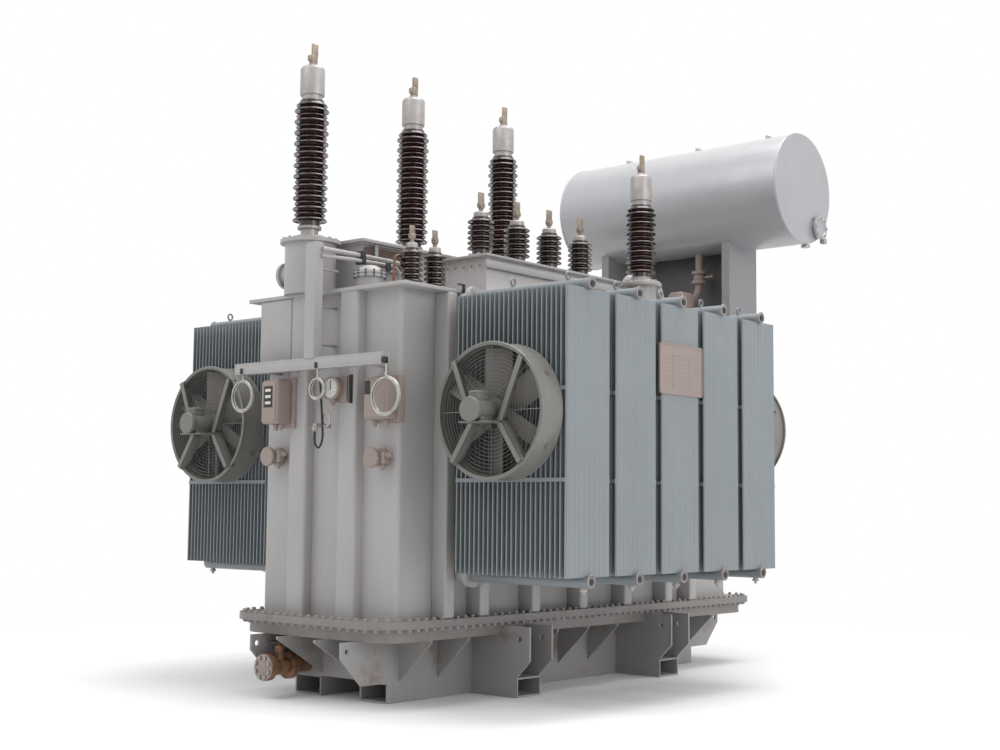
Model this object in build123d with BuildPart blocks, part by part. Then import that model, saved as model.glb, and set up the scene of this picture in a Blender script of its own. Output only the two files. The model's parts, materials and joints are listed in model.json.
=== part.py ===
"""Oil-filled power transformer with two radiator banks and a cross-mounted conservator.

Millimetres. X runs from the instrument end (-X) to the conservator end (+X), -Y is the side with the
nameplate, Z is up and z = 0 is the underside of the skid. The origin is the middle of the overall length.
"""
import os
from math import asin, cos, sin

from build123d import *

os.makedirs("parts", exist_ok=True)

# Overall and tank sizes
overall_length = 5820
tank_front_x = -2660
tank_length = 4890
tank_half_width = 795
tank_rear_corner = 300
tank_front_corner = 20
tank_height = 2520
cover_thickness = 30
cover_front_overhang = 95
cover_side_overhang = 70
cover_rear_overhang = 90

# Skid, keel and pan
beam_height = 155
beam_width = 300
beam_y = 371
beam_wall = 14
skid_length = 4222
cross_beam_x = (-1308, 686)
cross_half_length = 1005
keel_height = 335
pan_height = 102
pan_half_width = 850
pan_front_overhang = 100
pan_rear_overhang = 80
pan_corner = 225
flange_thickness = 28
flange_half_width = 925
flange_front_overhang = 185
flange_rear_overhang = 180
flange_corner = 300

# Ribs and brackets
rib_thickness = 16
rib_x = (-2290, -1860, -737, -311, 115, 1260, 1660)
rib_nose = 20
bracket_thickness = 20
bracket_reach = 1130
bracket_top_z = 560
bracket_chamfer = 135
haul_hole_radius = 22
end_bracket_reach = 488
end_bracket_chamfer = 215
end_gusset_reach = 478

# Wall stiffeners
stiffener_width = 110
stiffener_depth = 120
front_stiffener_y = (-300, 300)
side_stiffener_x = (-2160, -1740, -1140, -540, 60, 760, 1460)

# Radiators
radiator_first_x = -2040
radiator_pitch = 600
radiator_count = 5
plate_width = 520
plate_thickness = 11
plate_pitch = 45
plate_count = 24
plate_inner_y = 1093
header_radius = 45
header_flat = 30
header_upper_z = 3129
header_lower_z = 974
header_stub = 35
tie_width = 30
tie_thickness = 6
tie_z = (1700, 2355)
valve_pipe_radius = 38
valve_flange_radius = 85
valve_flange_thickness = 24
valve_gap = 43

# Fans
fan_z = 2195
fan_radius = 485
fan_flare = 15
fan_depth = 232
fan_wall = 8
strut_angle = 45
rim_lip = 12
strut_width = 45
strut_thickness = 8
motor_radius = 78
motor_length = 270
motor_inset = 40
rotor_gap = 40
shaft_radius = 20
shaft_clearance = 0.05
hub_radius = 95
hub_length = 70
blade_count = 6
blade_gap = 14
blade_width = 200
blade_thickness = 6
blade_root = 20
blade_angle = 32

# Bushings
hv_x = (-2537, -1342, -147)
hv_y = 325
hv_base_z = 3650
hv_porcelain_height = 1130
hv_core_radius = 110
hv_shed_radius = 140
hv_shed_count = 16
hv_flange_radius = 185
hv_flange_height = 70
hv_cap_radius = 100
hv_cap_height = 225
neutral_x = 720
neutral_y = -720
neutral_base_z = 3640
neutral_porcelain_height = 700
neutral_shed_count = 10
lv_x = (-1362, -912, -462, -12)
lv_y = -500
lv_base_z = 3580
lv_porcelain_height = 330
lv_shed_count = 5
lv_core_radius = 62
lv_shed_radius = 98
front_bushing_x = (-2202, -1935)
front_bushing_y = -500
terminal_width = 60
terminal_thickness = 30
terminal_height = 190

# Turret and raised boxes on the cover
turret_radius = 207
turret_flange_radius = 247
turret_flange_thickness = 30
hv_box_front_x = -2260
hv_box_rear_x = 280
hv_box_y = (0, 655)
lv_box_front_x = -1480
lv_box_rear_x = 290
lv_box_y = (-660, -200)
box_plate = 20

# Conservator
conservator_radius = 551
conservator_near_y = -1495
conservator_far_y = 1157
conservator_z = 4701
conservator_wall = 8
leg_y = 755
leg_thickness = 90
leg_width = 530
leg_seat_z = 4250
leg_beam_height = 100

relay_y = -300
relay_pipe_radius = 40
relay_upper_z = 3950
relay_lower_z = 3700
relay_foot_x = 1500

# Instruments and trunking on the end wall
tray_half_length = 850
tray_depth = 80
tray_height = 90
tray_z = 2600
riser_y = -45
riser_width = 100
riser_top_z = 3560
gauge_boxes = ((494, 2325, 200, 390), (-700, 2300, 220, 345))
gauge_box_depth = 140
dial_place = (-335, 2400)
dial_radius = 95
dial_depth = 85
junction_places = ((510, 1870), (-700, 1860))
junction_radius = 85
junction_depth = 90
coil_thickness = 36
conduit_radius = 9
conduit_coils = (
    ("conduit_coil_left", 755, 2385, 115),
    ("conduit_coil_middle", -130, 2400, 80),
    ("conduit_coil_right", -880, 2310, 135),
)

# Drain valve and nameplate
drain_face_x = -2875
drain_y = 385
drain_z = 240
drain_flange_radius = 105
drain_pipe_radius = 60
drain_valve_length = 280
stem_x = -2720
bonnet_radius = 38
bonnet_top_z = 400
stem_radius = 12
stem_clearance = 0.05
wheel_z = 425
wheel_radius = 84
wheel_rim = 16
nameplate_x = -840
nameplate_z = 2590
nameplate_width = 600
nameplate_height = 400
nameplate_thickness = 12
dome_x = -2466
dome_y = -300
dome_radius = 135
dome_rim = 30
dome_ledge = 25
dome_rise = 90

seat_gap = 0.3


def keep(piece, name):
    """Label a finished piece and write its STEP file."""
    piece.part.label = name
    export_step(piece.part, f"parts/{name}.step")


# Heights and places worked out from the sizes above
keel_top_z = beam_height + keel_height
pan_top_z = keel_top_z + pan_height
tank_base_z = pan_top_z + 2 * flange_thickness
tank_top_z = tank_base_z + tank_height
cover_top_z = tank_top_z + cover_thickness
tank_rear_x = tank_front_x + tank_length
beam_outer_y = beam_y + beam_width / 2
beam_inner_y = beam_y - beam_width / 2
skid_front_x = end_bracket_reach - overall_length / 2
skid_rear_x = skid_front_x + skid_length
radiator_x = [radiator_first_x + i * radiator_pitch for i in range(radiator_count)]
plate_outer_y = plate_inner_y + (plate_count - 1) * plate_pitch + plate_thickness
plate_bottom_z = header_lower_z + header_flat
plate_top_z = header_upper_z - header_flat
bank_front_x = radiator_first_x - plate_width / 2
bank_rear_x = radiator_x[-1] + plate_width / 2
bank_middle_y = (plate_inner_y + plate_outer_y) / 2
conservator_x = overall_length / 2 - conservator_radius
sides = {"right": -1, "left": 1}

# Two box beams along the length
with BuildPart() as skid_beams:
    with BuildSketch(Plane.YZ.offset(skid_front_x)):
        with Locations((-beam_y, beam_height / 2), (beam_y, beam_height / 2)):
            Rectangle(beam_width, beam_height)
            Rectangle(beam_width - 2 * beam_wall, beam_height - 2 * beam_wall, mode=Mode.SUBTRACT)
    extrude(amount=skid_length)
keep(skid_beams, "skid_beams")

# Two cross beams, each in three lengths fitted between and outside the long beams
cross_spans = (
    (cross_half_length, cross_half_length - beam_outer_y),
    (beam_inner_y, 2 * beam_inner_y),
    (-beam_outer_y, cross_half_length - beam_outer_y),
)
with BuildPart() as cross_beams:
    for start_y, span in cross_spans:
        with BuildSketch(Plane.XZ.offset(-start_y)):
            with Locations(*[(x, beam_height / 2) for x in cross_beam_x]):
                Rectangle(beam_width, beam_height)
                Rectangle(beam_width - 2 * beam_wall, beam_height - 2 * beam_wall, mode=Mode.SUBTRACT)
        extrude(amount=span)
keep(cross_beams, "cross_beams")

# The keel box between the beams and the pan
with BuildPart() as keel_box:
    with BuildSketch(Plane.XY.offset(beam_height)):
        with Locations(((skid_front_x + skid_rear_x) / 2, 0)):
            Rectangle(skid_length, 2 * beam_outer_y)
    extrude(amount=keel_height)
keep(keel_box, "keel_box")

# Triangular ribs from the keel's sides to the pan's underside
with BuildPart() as pan_ribs:
    for side in sides.values():
        for x in rib_x:
            with BuildSketch(Plane.YZ.offset(x - rib_thickness / 2)):
                with BuildLine():
                    Polyline(
                        (side * beam_outer_y, beam_height),
                        (side * beam_outer_y, keel_top_z),
                        (side * pan_half_width, keel_top_z),
                        (side * pan_half_width, keel_top_z - rib_nose),
                        close=True,
                    )
                make_face()
            extrude(amount=rib_thickness)
keep(pan_ribs, "pan_ribs")

# Pairs of haul brackets on the cross beams
with BuildPart() as haul_brackets:
    for side in sides.values():
        for beam_x in cross_beam_x:
            for wall_x in (beam_x - beam_width / 2, beam_x + beam_width / 2 - bracket_thickness):
                with BuildSketch(Plane.YZ.offset(wall_x)):
                    with BuildLine():
                        Polyline(
                            (side * beam_outer_y, beam_height),
                            (side * (bracket_reach - bracket_chamfer), beam_height),
                            (side * bracket_reach, beam_height + bracket_chamfer),
                            (side * bracket_reach, bracket_top_z),
                            (side * pan_half_width, bracket_top_z),
                            (side * pan_half_width, keel_top_z),
                            (side * beam_outer_y, keel_top_z),
                            close=True,
                        )
                    make_face()
                    with Locations((side * (bracket_reach - 104), bracket_top_z - 100)):
                        Circle(haul_hole_radius, mode=Mode.SUBTRACT)
                extrude(amount=bracket_thickness)
keep(haul_brackets, "haul_brackets")

# Brackets under both ends of the pan: two tall plates and two inner gussets at each end
end_frames = ((skid_front_x, -1), (skid_rear_x, 1))
with BuildPart() as end_brackets:
    for face_x, outward in end_frames:
        for plate_y in (-beam_outer_y + bracket_thickness, beam_outer_y):
            with BuildSketch(Plane.XZ.offset(-plate_y)):
                with BuildLine():
                    Polyline(
                        (face_x, beam_height),
                        (face_x + outward * (end_bracket_reach - end_bracket_chamfer), beam_height),
                        (face_x + outward * end_bracket_reach, beam_height + end_bracket_chamfer),
                        (face_x + outward * end_bracket_reach, keel_top_z),
                        (face_x, keel_top_z),
                        close=True,
                    )
                make_face()
                with Locations((face_x + outward * (end_bracket_reach - 60), keel_top_z - 70)):
                    Circle(haul_hole_radius, mode=Mode.SUBTRACT)
            extrude(amount=bracket_thickness)
        for plate_y in (-beam_inner_y + rib_thickness, beam_inner_y):
            with BuildSketch(Plane.XZ.offset(-plate_y)):
                with BuildLine():
                    Polyline(
                        (face_x, beam_height + 30),
                        (face_x, keel_top_z),
                        (face_x + outward * end_gusset_reach, keel_top_z),
                        (face_x + outward * end_gusset_reach, keel_top_z - rib_nose),
                        close=True,
                    )
                make_face()
            extrude(amount=rib_thickness)
keep(end_brackets, "end_brackets")


def pan_outline(front_x, rear_x, half_width, corner):
    """The plan of the pan and its flanges: a rectangle with round corners."""
    with BuildSketch(mode=Mode.PRIVATE) as outline:
        with Locations(((front_x + rear_x) / 2, 0)):
            RectangleRounded(rear_x - front_x, 2 * half_width, corner)
    return outline.sketch


# The bottom pan and the bolted pair of flanges
with BuildPart() as lower_pan:
    with BuildSketch(Plane.XY.offset(keel_top_z)):
        add(pan_outline(tank_front_x - pan_front_overhang, tank_rear_x + pan_rear_overhang,
                        pan_half_width, pan_corner))
    extrude(amount=pan_height)
keep(lower_pan, "lower_pan")

for flange_name, flange_z in (("lower_flange", pan_top_z), ("upper_flange", pan_top_z + flange_thickness)):
    with BuildPart() as flange:
        with BuildSketch(Plane.XY.offset(flange_z)):
            add(pan_outline(tank_front_x - flange_front_overhang, tank_rear_x + flange_rear_overhang,
                            flange_half_width, flange_corner))
        extrude(amount=flange_thickness)
    keep(flange, flange_name)

# The tank, folded sharply at the instrument end and rolled at the other
with BuildPart() as tank_shell:
    with BuildSketch(Plane.XY.offset(tank_base_z)) as tank_plan:
        with Locations((tank_front_x + tank_length / 2, 0)):
            Rectangle(tank_length, 2 * tank_half_width)
        fillet(tank_plan.vertices().group_by(Axis.X)[-1], radius=tank_rear_corner)
        fillet(tank_plan.vertices().group_by(Axis.X)[0], radius=tank_front_corner)
    extrude(amount=tank_height)
keep(tank_shell, "tank_shell")

with BuildPart() as tank_cover:
    with BuildSketch(Plane.XY.offset(tank_top_z)) as cover_plan:
        with Locations((tank_front_x + (tank_length + cover_rear_overhang - cover_front_overhang) / 2, 0)):
            Rectangle(tank_length + cover_front_overhang + cover_rear_overhang,
                      2 * (tank_half_width + cover_side_overhang))
        fillet(cover_plan.vertices().group_by(Axis.X)[-1], radius=tank_rear_corner + cover_side_overhang)
    extrude(amount=cover_thickness)
keep(tank_cover, "tank_cover")

# Upright box stiffeners on the end and side walls
with BuildPart() as wall_stiffeners:
    with BuildSketch(Plane.XY.offset(tank_base_z)):
        with Locations(*[(tank_front_x - stiffener_depth / 2, y) for y in front_stiffener_y]):
            Rectangle(stiffener_depth, stiffener_width)
        with Locations(*[(tank_rear_x + stiffener_depth / 2, y) for y in front_stiffener_y]):
            Rectangle(stiffener_depth, stiffener_width)
        for side in sides.values():
            with Locations(*[(x, side * (tank_half_width + stiffener_depth / 2)) for x in side_stiffener_x]):
                Rectangle(stiffener_width, stiffener_depth)
    extrude(amount=tank_height)
keep(wall_stiffeners, "wall_stiffeners")

# Raised boxes that carry the high and low voltage bushings
with BuildPart() as hv_box:
    with BuildSketch(Plane.XY.offset(cover_top_z)):
        with Locations(((hv_box_front_x + hv_box_rear_x) / 2, sum(hv_box_y) / 2)):
            Rectangle(hv_box_rear_x - hv_box_front_x, hv_box_y[1] - hv_box_y[0])
    extrude(amount=hv_base_z - cover_top_z - box_plate)
    with BuildSketch(Plane.XY.offset(hv_base_z - box_plate)):
        with Locations(((hv_box_front_x + hv_box_rear_x) / 2, sum(hv_box_y) / 2)):
            Rectangle(hv_box_rear_x - hv_box_front_x + 60, hv_box_y[1] - hv_box_y[0] + 60)
    extrude(amount=box_plate)
keep(hv_box, "hv_box")

with BuildPart() as lv_box:
    with BuildSketch(Plane.XY.offset(cover_top_z)):
        with Locations(((lv_box_front_x + lv_box_rear_x) / 2, sum(lv_box_y) / 2)):
            Rectangle(lv_box_rear_x - lv_box_front_x, lv_box_y[1] - lv_box_y[0])
    extrude(amount=lv_base_z - cover_top_z - box_plate)
    with BuildSketch(Plane.XY.offset(lv_base_z - box_plate)):
        with Locations(((lv_box_front_x + lv_box_rear_x) / 2, sum(lv_box_y) / 2)):
            Rectangle(lv_box_rear_x - lv_box_front_x + 60, lv_box_y[1] - lv_box_y[0] + 60)
    extrude(amount=box_plate)
keep(lv_box, "lv_box")

# The turret of the first high voltage bushing, with its side handhole
with BuildPart() as hv_turret:
    with BuildSketch(Plane.XY.offset(cover_top_z)):
        with Locations((hv_x[0], hv_y)):
            Circle(turret_radius)
    extrude(amount=hv_base_z - cover_top_z)
    with BuildSketch(Plane.XY.offset(hv_base_z - turret_flange_thickness)):
        with Locations((hv_x[0], hv_y)):
            Circle(turret_flange_radius)
    extrude(amount=turret_flange_thickness)
    with BuildSketch(Plane.XZ.offset(-hv_y)):
        with Locations((hv_x[0], cover_top_z + 190)):
            Circle(85)
    extrude(amount=-(turret_radius + 60))
    with BuildSketch(Plane.XZ.offset(-(hv_y + turret_radius + 60))):
        with Locations((hv_x[0], cover_top_z + 190)):
            Circle(110)
    extrude(amount=-30)
keep(hv_turret, "hv_turret")


def shed_stack(x, y, base_z, height, core_radius, shed_radius, count):
    """Porcelain with thin drooping sheds at an even pitch, turned about its own axis."""
    pitch = height / count
    points = [(0, base_z), (core_radius, base_z)]
    for i in range(count):
        z = base_z + i * pitch
        points += [(core_radius, z + 0.30 * pitch), (shed_radius, z + 0.18 * pitch), (core_radius, z + 0.75 * pitch)]
    points += [(core_radius, base_z + height), (0, base_z + height)]
    with BuildPart() as stack:
        with BuildSketch(Plane((x, y, 0), x_dir=(1, 0, 0), z_dir=(0, -1, 0))):
            with BuildLine():
                Polyline(*points, close=True)
            make_face()
        revolve(axis=Axis((x, y, 0), (0, 0, 1)))
    return stack.part


# The large bushings: mounting flange, porcelain, metal cap and terminal clamp
large_bushings = [(x, hv_y, hv_base_z, hv_porcelain_height, hv_shed_count) for x in hv_x]
large_bushings.append((neutral_x, neutral_y, neutral_base_z, neutral_porcelain_height, neutral_shed_count))

with BuildPart() as bushing_flanges:
    for x, y, base_z, height, count in large_bushings:
        with BuildSketch(Plane.XY.offset(base_z)):
            with Locations((x, y)):
                Circle(hv_flange_radius)
        extrude(amount=hv_flange_height)
keep(bushing_flanges, "bushing_flanges")

with BuildPart() as hv_bushings:
    for x, y, base_z, height, count in large_bushings:
        add(shed_stack(x, y, base_z + hv_flange_height, height, hv_core_radius, hv_shed_radius, count))
keep(hv_bushings, "hv_bushings")

with BuildPart() as bushing_caps:
    for x, y, base_z, height, count in large_bushings:
        with BuildSketch(Plane.XY.offset(base_z + hv_flange_height + height)):
            with Locations((x, y)):
                Circle(hv_cap_radius)
        extrude(amount=hv_cap_height)
keep(bushing_caps, "bushing_caps")

# The turret that carries the neutral bushing
with BuildPart() as neutral_turret:
    with BuildSketch(Plane.XY.offset(cover_top_z)):
        with Locations((neutral_x, neutral_y)):
            Circle(140)
    extrude(amount=neutral_base_z - cover_top_z)
    with BuildSketch(Plane.XY.offset(neutral_base_z - 25)):
        with Locations((neutral_x, neutral_y)):
            Circle(195)
    extrude(amount=25)
keep(neutral_turret, "neutral_turret")

small_bushings = [(x, lv_y, lv_base_z, lv_porcelain_height) for x in lv_x]
small_bushings += [(x, front_bushing_y, cover_top_z, lv_porcelain_height) for x in front_bushing_x]
with BuildPart() as lv_bushings:
    for x, y, base_z, height in small_bushings:
        add(shed_stack(x, y, base_z, height, lv_core_radius, lv_shed_radius, lv_shed_count))
keep(lv_bushings, "lv_bushings")

terminal_seats = [(x, y, base_z + hv_flange_height + height + hv_cap_height)
                  for x, y, base_z, height, count in large_bushings]
terminal_seats += [(x, y, base_z + height) for x, y, base_z, height in small_bushings]
with BuildPart() as bushing_terminals:
    for x, y, z in terminal_seats:
        with BuildSketch(Plane.XY.offset(z)):
            with Locations((x, y)):
                Circle(24)
        extrude(amount=60)
        with BuildSketch(Plane.XY.offset(z + 60)):
            with Locations((x, y)):
                Rectangle(terminal_width, terminal_thickness)
        extrude(amount=terminal_height - 60)
keep(bushing_terminals, "bushing_terminals")

# One radiator, modelled on the nameplate side: thin plates between two headers, tied across their edges
header_start = plate_inner_y - valve_gap
header_length = plate_outer_y + header_stub - header_start
with BuildPart() as radiator_master:
    with BuildSketch(Plane.XY.offset(plate_bottom_z)):
        with Locations(*[(0, -plate_inner_y - i * plate_pitch - plate_thickness / 2) for i in range(plate_count)]):
            Rectangle(plate_width, plate_thickness)
    extrude(amount=plate_top_z - plate_bottom_z)
    for header_z, flat_side in ((header_upper_z, -1), (header_lower_z, 1)):
        with BuildSketch(Plane.XZ.offset(header_start)):
            with Locations((0, header_z)):
                Circle(header_radius)
            with Locations((0, header_z + flat_side * (header_flat + header_radius / 2))):
                Rectangle(2 * header_radius, header_radius, mode=Mode.SUBTRACT)
        extrude(amount=header_length)
    for z in tie_z:
        with BuildSketch(Plane.XY.offset(z - tie_width / 2)):
            with Locations(*[(s * (plate_width + tie_thickness) / 2, -bank_middle_y) for s in (-1, 1)]):
                Rectangle(tie_thickness, plate_outer_y - plate_inner_y)
        extrude(amount=tie_width)

for side_name, side_turn in (("right", 0), ("left", 180)):
    for number, x in enumerate(radiator_x, start=1):
        with BuildPart() as radiator:
            with Locations(Location((x, 0, 0), (0, 0, side_turn))):
                add(radiator_master.part)
        keep(radiator, f"radiator_{side_name}_{number}")

# Butterfly valves and short pipes from the tank wall to each header
with BuildPart() as radiator_valves:
    for side in sides.values():
        for z in (header_upper_z, header_lower_z):
            with BuildSketch(Plane.XZ.offset(-side * tank_half_width)):
                with Locations(*[(x, z) for x in radiator_x]):
                    Circle(valve_pipe_radius)
            extrude(amount=-side * (header_start - tank_half_width))
            with BuildSketch(Plane.XZ.offset(-side * (header_start - 2 * valve_flange_thickness))):
                with Locations(*[(x, z) for x in radiator_x]):
                    Circle(valve_flange_radius)
            extrude(amount=-side * 2 * valve_flange_thickness)
keep(radiator_valves, "radiator_valves")

# One fan about its own axis, its back plane at x = 0 and its mouth towards -X
rim_x = -fan_depth
motor_back_x = rim_x + motor_inset
rotor_front_x = motor_back_x + rotor_gap
with BuildPart() as shroud_master:
    with BuildSketch(Plane.XZ):
        with BuildLine():
            Polyline(
                (0, fan_radius + fan_flare - fan_wall),
                (rim_x, fan_radius - fan_wall),
                (rim_x, fan_radius + rim_lip),
                (rim_x + rim_lip, fan_radius + rim_lip),
                (rim_x + rim_lip, fan_radius),
                (0, fan_radius + fan_flare),
                close=True,
            )
        make_face()
    revolve(axis=Axis.X)

with BuildPart() as motor_master:
    with BuildSketch(Plane.XZ):
        with BuildLine():
            Polyline(
                (motor_back_x, 0),
                (motor_back_x, motor_radius - 12),
                (motor_back_x - 12, motor_radius),
                (motor_back_x - motor_length + 15, motor_radius),
                (motor_back_x - motor_length, motor_radius - 15),
                (motor_back_x - motor_length, 0),
                close=True,
            )
        make_face()
    revolve(axis=Axis.X)
    strut_length = fan_radius - fan_wall - seat_gap
    with BuildSketch(Plane.YZ.offset(motor_back_x)):
        with PolarLocations(strut_length / 2, 4, start_angle=strut_angle):
            Rectangle(strut_length, strut_thickness)
    extrude(amount=-strut_width)
    with BuildSketch(Plane.YZ.offset(motor_back_x)):
        Circle(shaft_radius)
    extrude(amount=rotor_gap + hub_length)

with BuildPart() as rotor_master:
    with BuildSketch(Plane.YZ.offset(rotor_front_x)):
        Circle(hub_radius)
    extrude(amount=hub_length)
    blade_length = fan_radius - fan_wall - blade_gap - hub_radius + blade_root
    for i in range(blade_count):
        blade = Pos(0, 0, hub_radius - blade_root + blade_length / 2) * Rotation(0, 0, blade_angle) * Box(
            blade_thickness, blade_width, blade_length, mode=Mode.PRIVATE)
        add(Pos(rotor_front_x + hub_length / 2, 0, 0) * Rotation(360 / blade_count * i, 0, 0) * blade)
    with BuildSketch(Plane.YZ.offset(rotor_front_x)):
        Circle(shaft_radius + shaft_clearance)
    extrude(amount=hub_length, mode=Mode.SUBTRACT)

# Four fans, on the end faces of both banks
fan_masters = {"fan_shroud": shroud_master, "fan_motor": motor_master, "fan_rotor": rotor_master}
fan_ends = (("front", bank_front_x - tie_thickness, 0), ("rear", bank_rear_x + tie_thickness, 180))
for side_name, side in sides.items():
    for end_name, back_x, end_turn in fan_ends:
        for piece_name, master in fan_masters.items():
            with BuildPart() as fan_piece:
                with Locations(Location((back_x, side * bank_middle_y, fan_z), (0, 0, end_turn))):
                    add(master.part)
            keep(fan_piece, f"{piece_name}_{end_name}_{side_name}")

# Conservator: a drum across the tank, closed by two flat ends
with BuildPart() as conservator_shell:
    with BuildSketch(Plane.XZ.offset(-conservator_near_y - conservator_wall)):
        with Locations((conservator_x, conservator_z)):
            Circle(conservator_radius)
            Circle(conservator_radius - conservator_wall, mode=Mode.SUBTRACT)
    extrude(amount=conservator_near_y - conservator_far_y + 2 * conservator_wall)
keep(conservator_shell, "conservator_shell")

with BuildPart() as conservator_ends:
    for end_y in (conservator_near_y + conservator_wall, conservator_far_y):
        with BuildSketch(Plane.XZ.offset(-end_y)):
            with Locations((conservator_x, conservator_z)):
                Circle(conservator_radius)
        extrude(amount=conservator_wall)
keep(conservator_ends, "conservator_ends")

# Legs stand on rails on the cover and reach past its end
with BuildPart() as conservator_supports:
    for side in sides.values():
        with BuildSketch(Plane.XZ.offset(-side * leg_y + leg_thickness / 2 * side)):
            with BuildLine():
                Polyline(
                    (tank_rear_x - 330, cover_top_z),
                    (conservator_x + leg_width / 2, cover_top_z),
                    (conservator_x + leg_width / 2, conservator_z),
                    (conservator_x - leg_width / 2, conservator_z),
                    (conservator_x - leg_width / 2, cover_top_z + leg_beam_height),
                    (tank_rear_x - 330, cover_top_z + leg_beam_height),
                    close=True,
                )
            make_face()
            with Locations((conservator_x, conservator_z)):
                Circle(conservator_radius + seat_gap, mode=Mode.SUBTRACT)
        extrude(amount=-side * leg_thickness)
keep(conservator_supports, "conservator_supports")

# The pipe and gas relay from the drum's underside to the cover
drum_bottom_z = conservator_z - conservator_radius
with BuildPart() as relay_pipe:
    with BuildLine(Plane.XZ.offset(-relay_y)) as relay_route:
        FilletPolyline(
            (conservator_x, drum_bottom_z - seat_gap),
            (conservator_x, relay_upper_z),
            (relay_foot_x, relay_lower_z),
            (relay_foot_x, cover_top_z),
            radius=120,
        )
    with BuildSketch(Plane((conservator_x, relay_y, drum_bottom_z - seat_gap), z_dir=(0, 0, -1))):
        Circle(relay_pipe_radius)
    sweep()
keep(relay_pipe, "relay_pipe")

# The trunking across the instrument end and the riser up to the turret
tray_back_x = tank_front_x - stiffener_depth
with BuildPart() as cable_tray:
    with BuildSketch(Plane.XZ.offset(tray_half_length)):
        with Locations((tray_back_x - tray_depth / 2, tray_z)):
            Rectangle(tray_depth, tray_height)
    extrude(amount=-2 * tray_half_length)
    with BuildSketch(Plane.XY.offset(tray_z)):
        with Locations((tray_back_x - tray_depth / 2, riser_y)):
            Rectangle(tray_depth, riser_width)
    extrude(amount=riser_top_z - tray_z)
keep(cable_tray, "cable_tray")

# Instruments on the end wall: two glazed boxes, a dial and two round junction boxes
with BuildPart() as instrument_boxes:
    for y, z, width, height in gauge_boxes:
        with BuildSketch(Plane.YZ.offset(tank_front_x)):
            with Locations((y, z)):
                RectangleRounded(width, height, 25)
        extrude(amount=-gauge_box_depth)
    with BuildSketch(Plane.YZ.offset(tray_back_x)):
        with Locations(dial_place):
            Circle(dial_radius)
    extrude(amount=-dial_depth)
keep(instrument_boxes, "instrument_boxes")

with BuildPart() as junction_boxes:
    with BuildSketch(Plane.YZ.offset(tank_front_x)):
        with Locations(*junction_places):
            Circle(junction_radius)
    extrude(amount=-junction_depth)
keep(junction_boxes, "junction_boxes")

# Coils of flexible conduit hung from the trunking by their tails, as their outer shapes
coil_x = tray_back_x - tray_depth + coil_thickness / 2
for coil_name, coil_y, coil_z, coil_radius in conduit_coils:
    with BuildPart() as conduit_coil:
        with BuildSketch(Plane.XZ.offset(-coil_y)):
            with Locations((coil_x, coil_z + coil_radius)):
                Circle(coil_thickness / 2)
        revolve(axis=Axis((coil_x, coil_y, coil_z), (1, 0, 0)))
        with BuildSketch(Plane.XY.offset(coil_z + coil_radius)):
            with Locations((coil_x, coil_y)):
                Circle(conduit_radius)
        extrude(amount=tray_z - tray_height / 2 - coil_z - coil_radius)
    keep(conduit_coil, coil_name)

# Drain: blind flange, gate valve and pipe into the keel, with the handwheel on a vertical stem
valve_axis = Plane((drain_face_x, drain_y, drain_z), x_dir=(1, 0, 0), z_dir=(0, -1, 0))
drain_length = skid_front_x - drain_face_x
with BuildPart() as drain_valve:
    with BuildSketch(valve_axis):
        with BuildLine():
            Polyline(
                (0, 0),
                (0, drain_flange_radius),
                (50, drain_flange_radius),
                (50, drain_pipe_radius),
                (drain_valve_length - 50, drain_pipe_radius),
                (drain_valve_length - 50, drain_flange_radius),
                (drain_valve_length, drain_flange_radius),
                (drain_valve_length, drain_pipe_radius),
                (drain_length, drain_pipe_radius),
                (drain_length, 0),
                close=True,
            )
        make_face()
    revolve(axis=Axis((drain_face_x, drain_y, drain_z), (1, 0, 0)))
    with BuildSketch(Plane.XY.offset(drain_z)):
        with Locations((stem_x, drain_y)):
            Circle(bonnet_radius)
    extrude(amount=bonnet_top_z - drain_z)
    with BuildSketch(Plane.XY.offset(bonnet_top_z)):
        with Locations((stem_x, drain_y)):
            Circle(stem_radius)
    extrude(amount=wheel_z + 30 - bonnet_top_z)
keep(drain_valve, "drain_valve")

with BuildPart() as drain_handwheel:
    with BuildSketch(Plane.XZ.offset(-drain_y)):
        with Locations((stem_x + wheel_radius, wheel_z)):
            Circle(wheel_rim / 2)
    revolve(axis=Axis((stem_x, drain_y, 0), (0, 0, 1)))
    with BuildSketch(Plane.XY.offset(wheel_z - wheel_rim / 2)):
        with Locations((stem_x, drain_y)):
            Circle(stem_radius + 14)
            with PolarLocations(wheel_radius / 2, 4):
                Rectangle(wheel_radius, wheel_rim * 0.7)
            Circle(stem_radius + stem_clearance, mode=Mode.SUBTRACT)
    extrude(amount=wheel_rim)
keep(drain_handwheel, "drain_handwheel")

# A bare plate on the middle radiator
with BuildPart() as nameplate:
    with BuildSketch(Plane.XZ.offset(plate_outer_y)):
        with Locations((nameplate_x, nameplate_z)):
            Rectangle(nameplate_width, nameplate_height)
    extrude(amount=nameplate_thickness)
keep(nameplate, "nameplate")

# A domed inspection fitting on the cover by the first bushing
dome_foot = dome_radius - dome_ledge
dome_ball = (dome_foot**2 + (dome_rise - dome_rim) ** 2) / (2 * (dome_rise - dome_rim))
dome_angle = asin(dome_foot / dome_ball)
with BuildPart() as cover_fitting:
    with BuildSketch(Plane((dome_x, dome_y, cover_top_z), x_dir=(1, 0, 0), z_dir=(0, -1, 0))):
        with BuildLine():
            Polyline((0, 0), (dome_radius, 0), (dome_radius, dome_rim), (dome_foot, dome_rim))
            ThreePointArc(
                (dome_foot, dome_rim),
                (dome_ball * sin(dome_angle / 2), dome_rise - dome_ball * (1 - cos(dome_angle / 2))),
                (0, dome_rise),
            )
            Line((0, dome_rise), (0, 0))
        make_face()
    revolve(axis=Axis((dome_x, dome_y, 0), (0, 0, 1)))
keep(cover_fitting, "cover_fitting")

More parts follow.
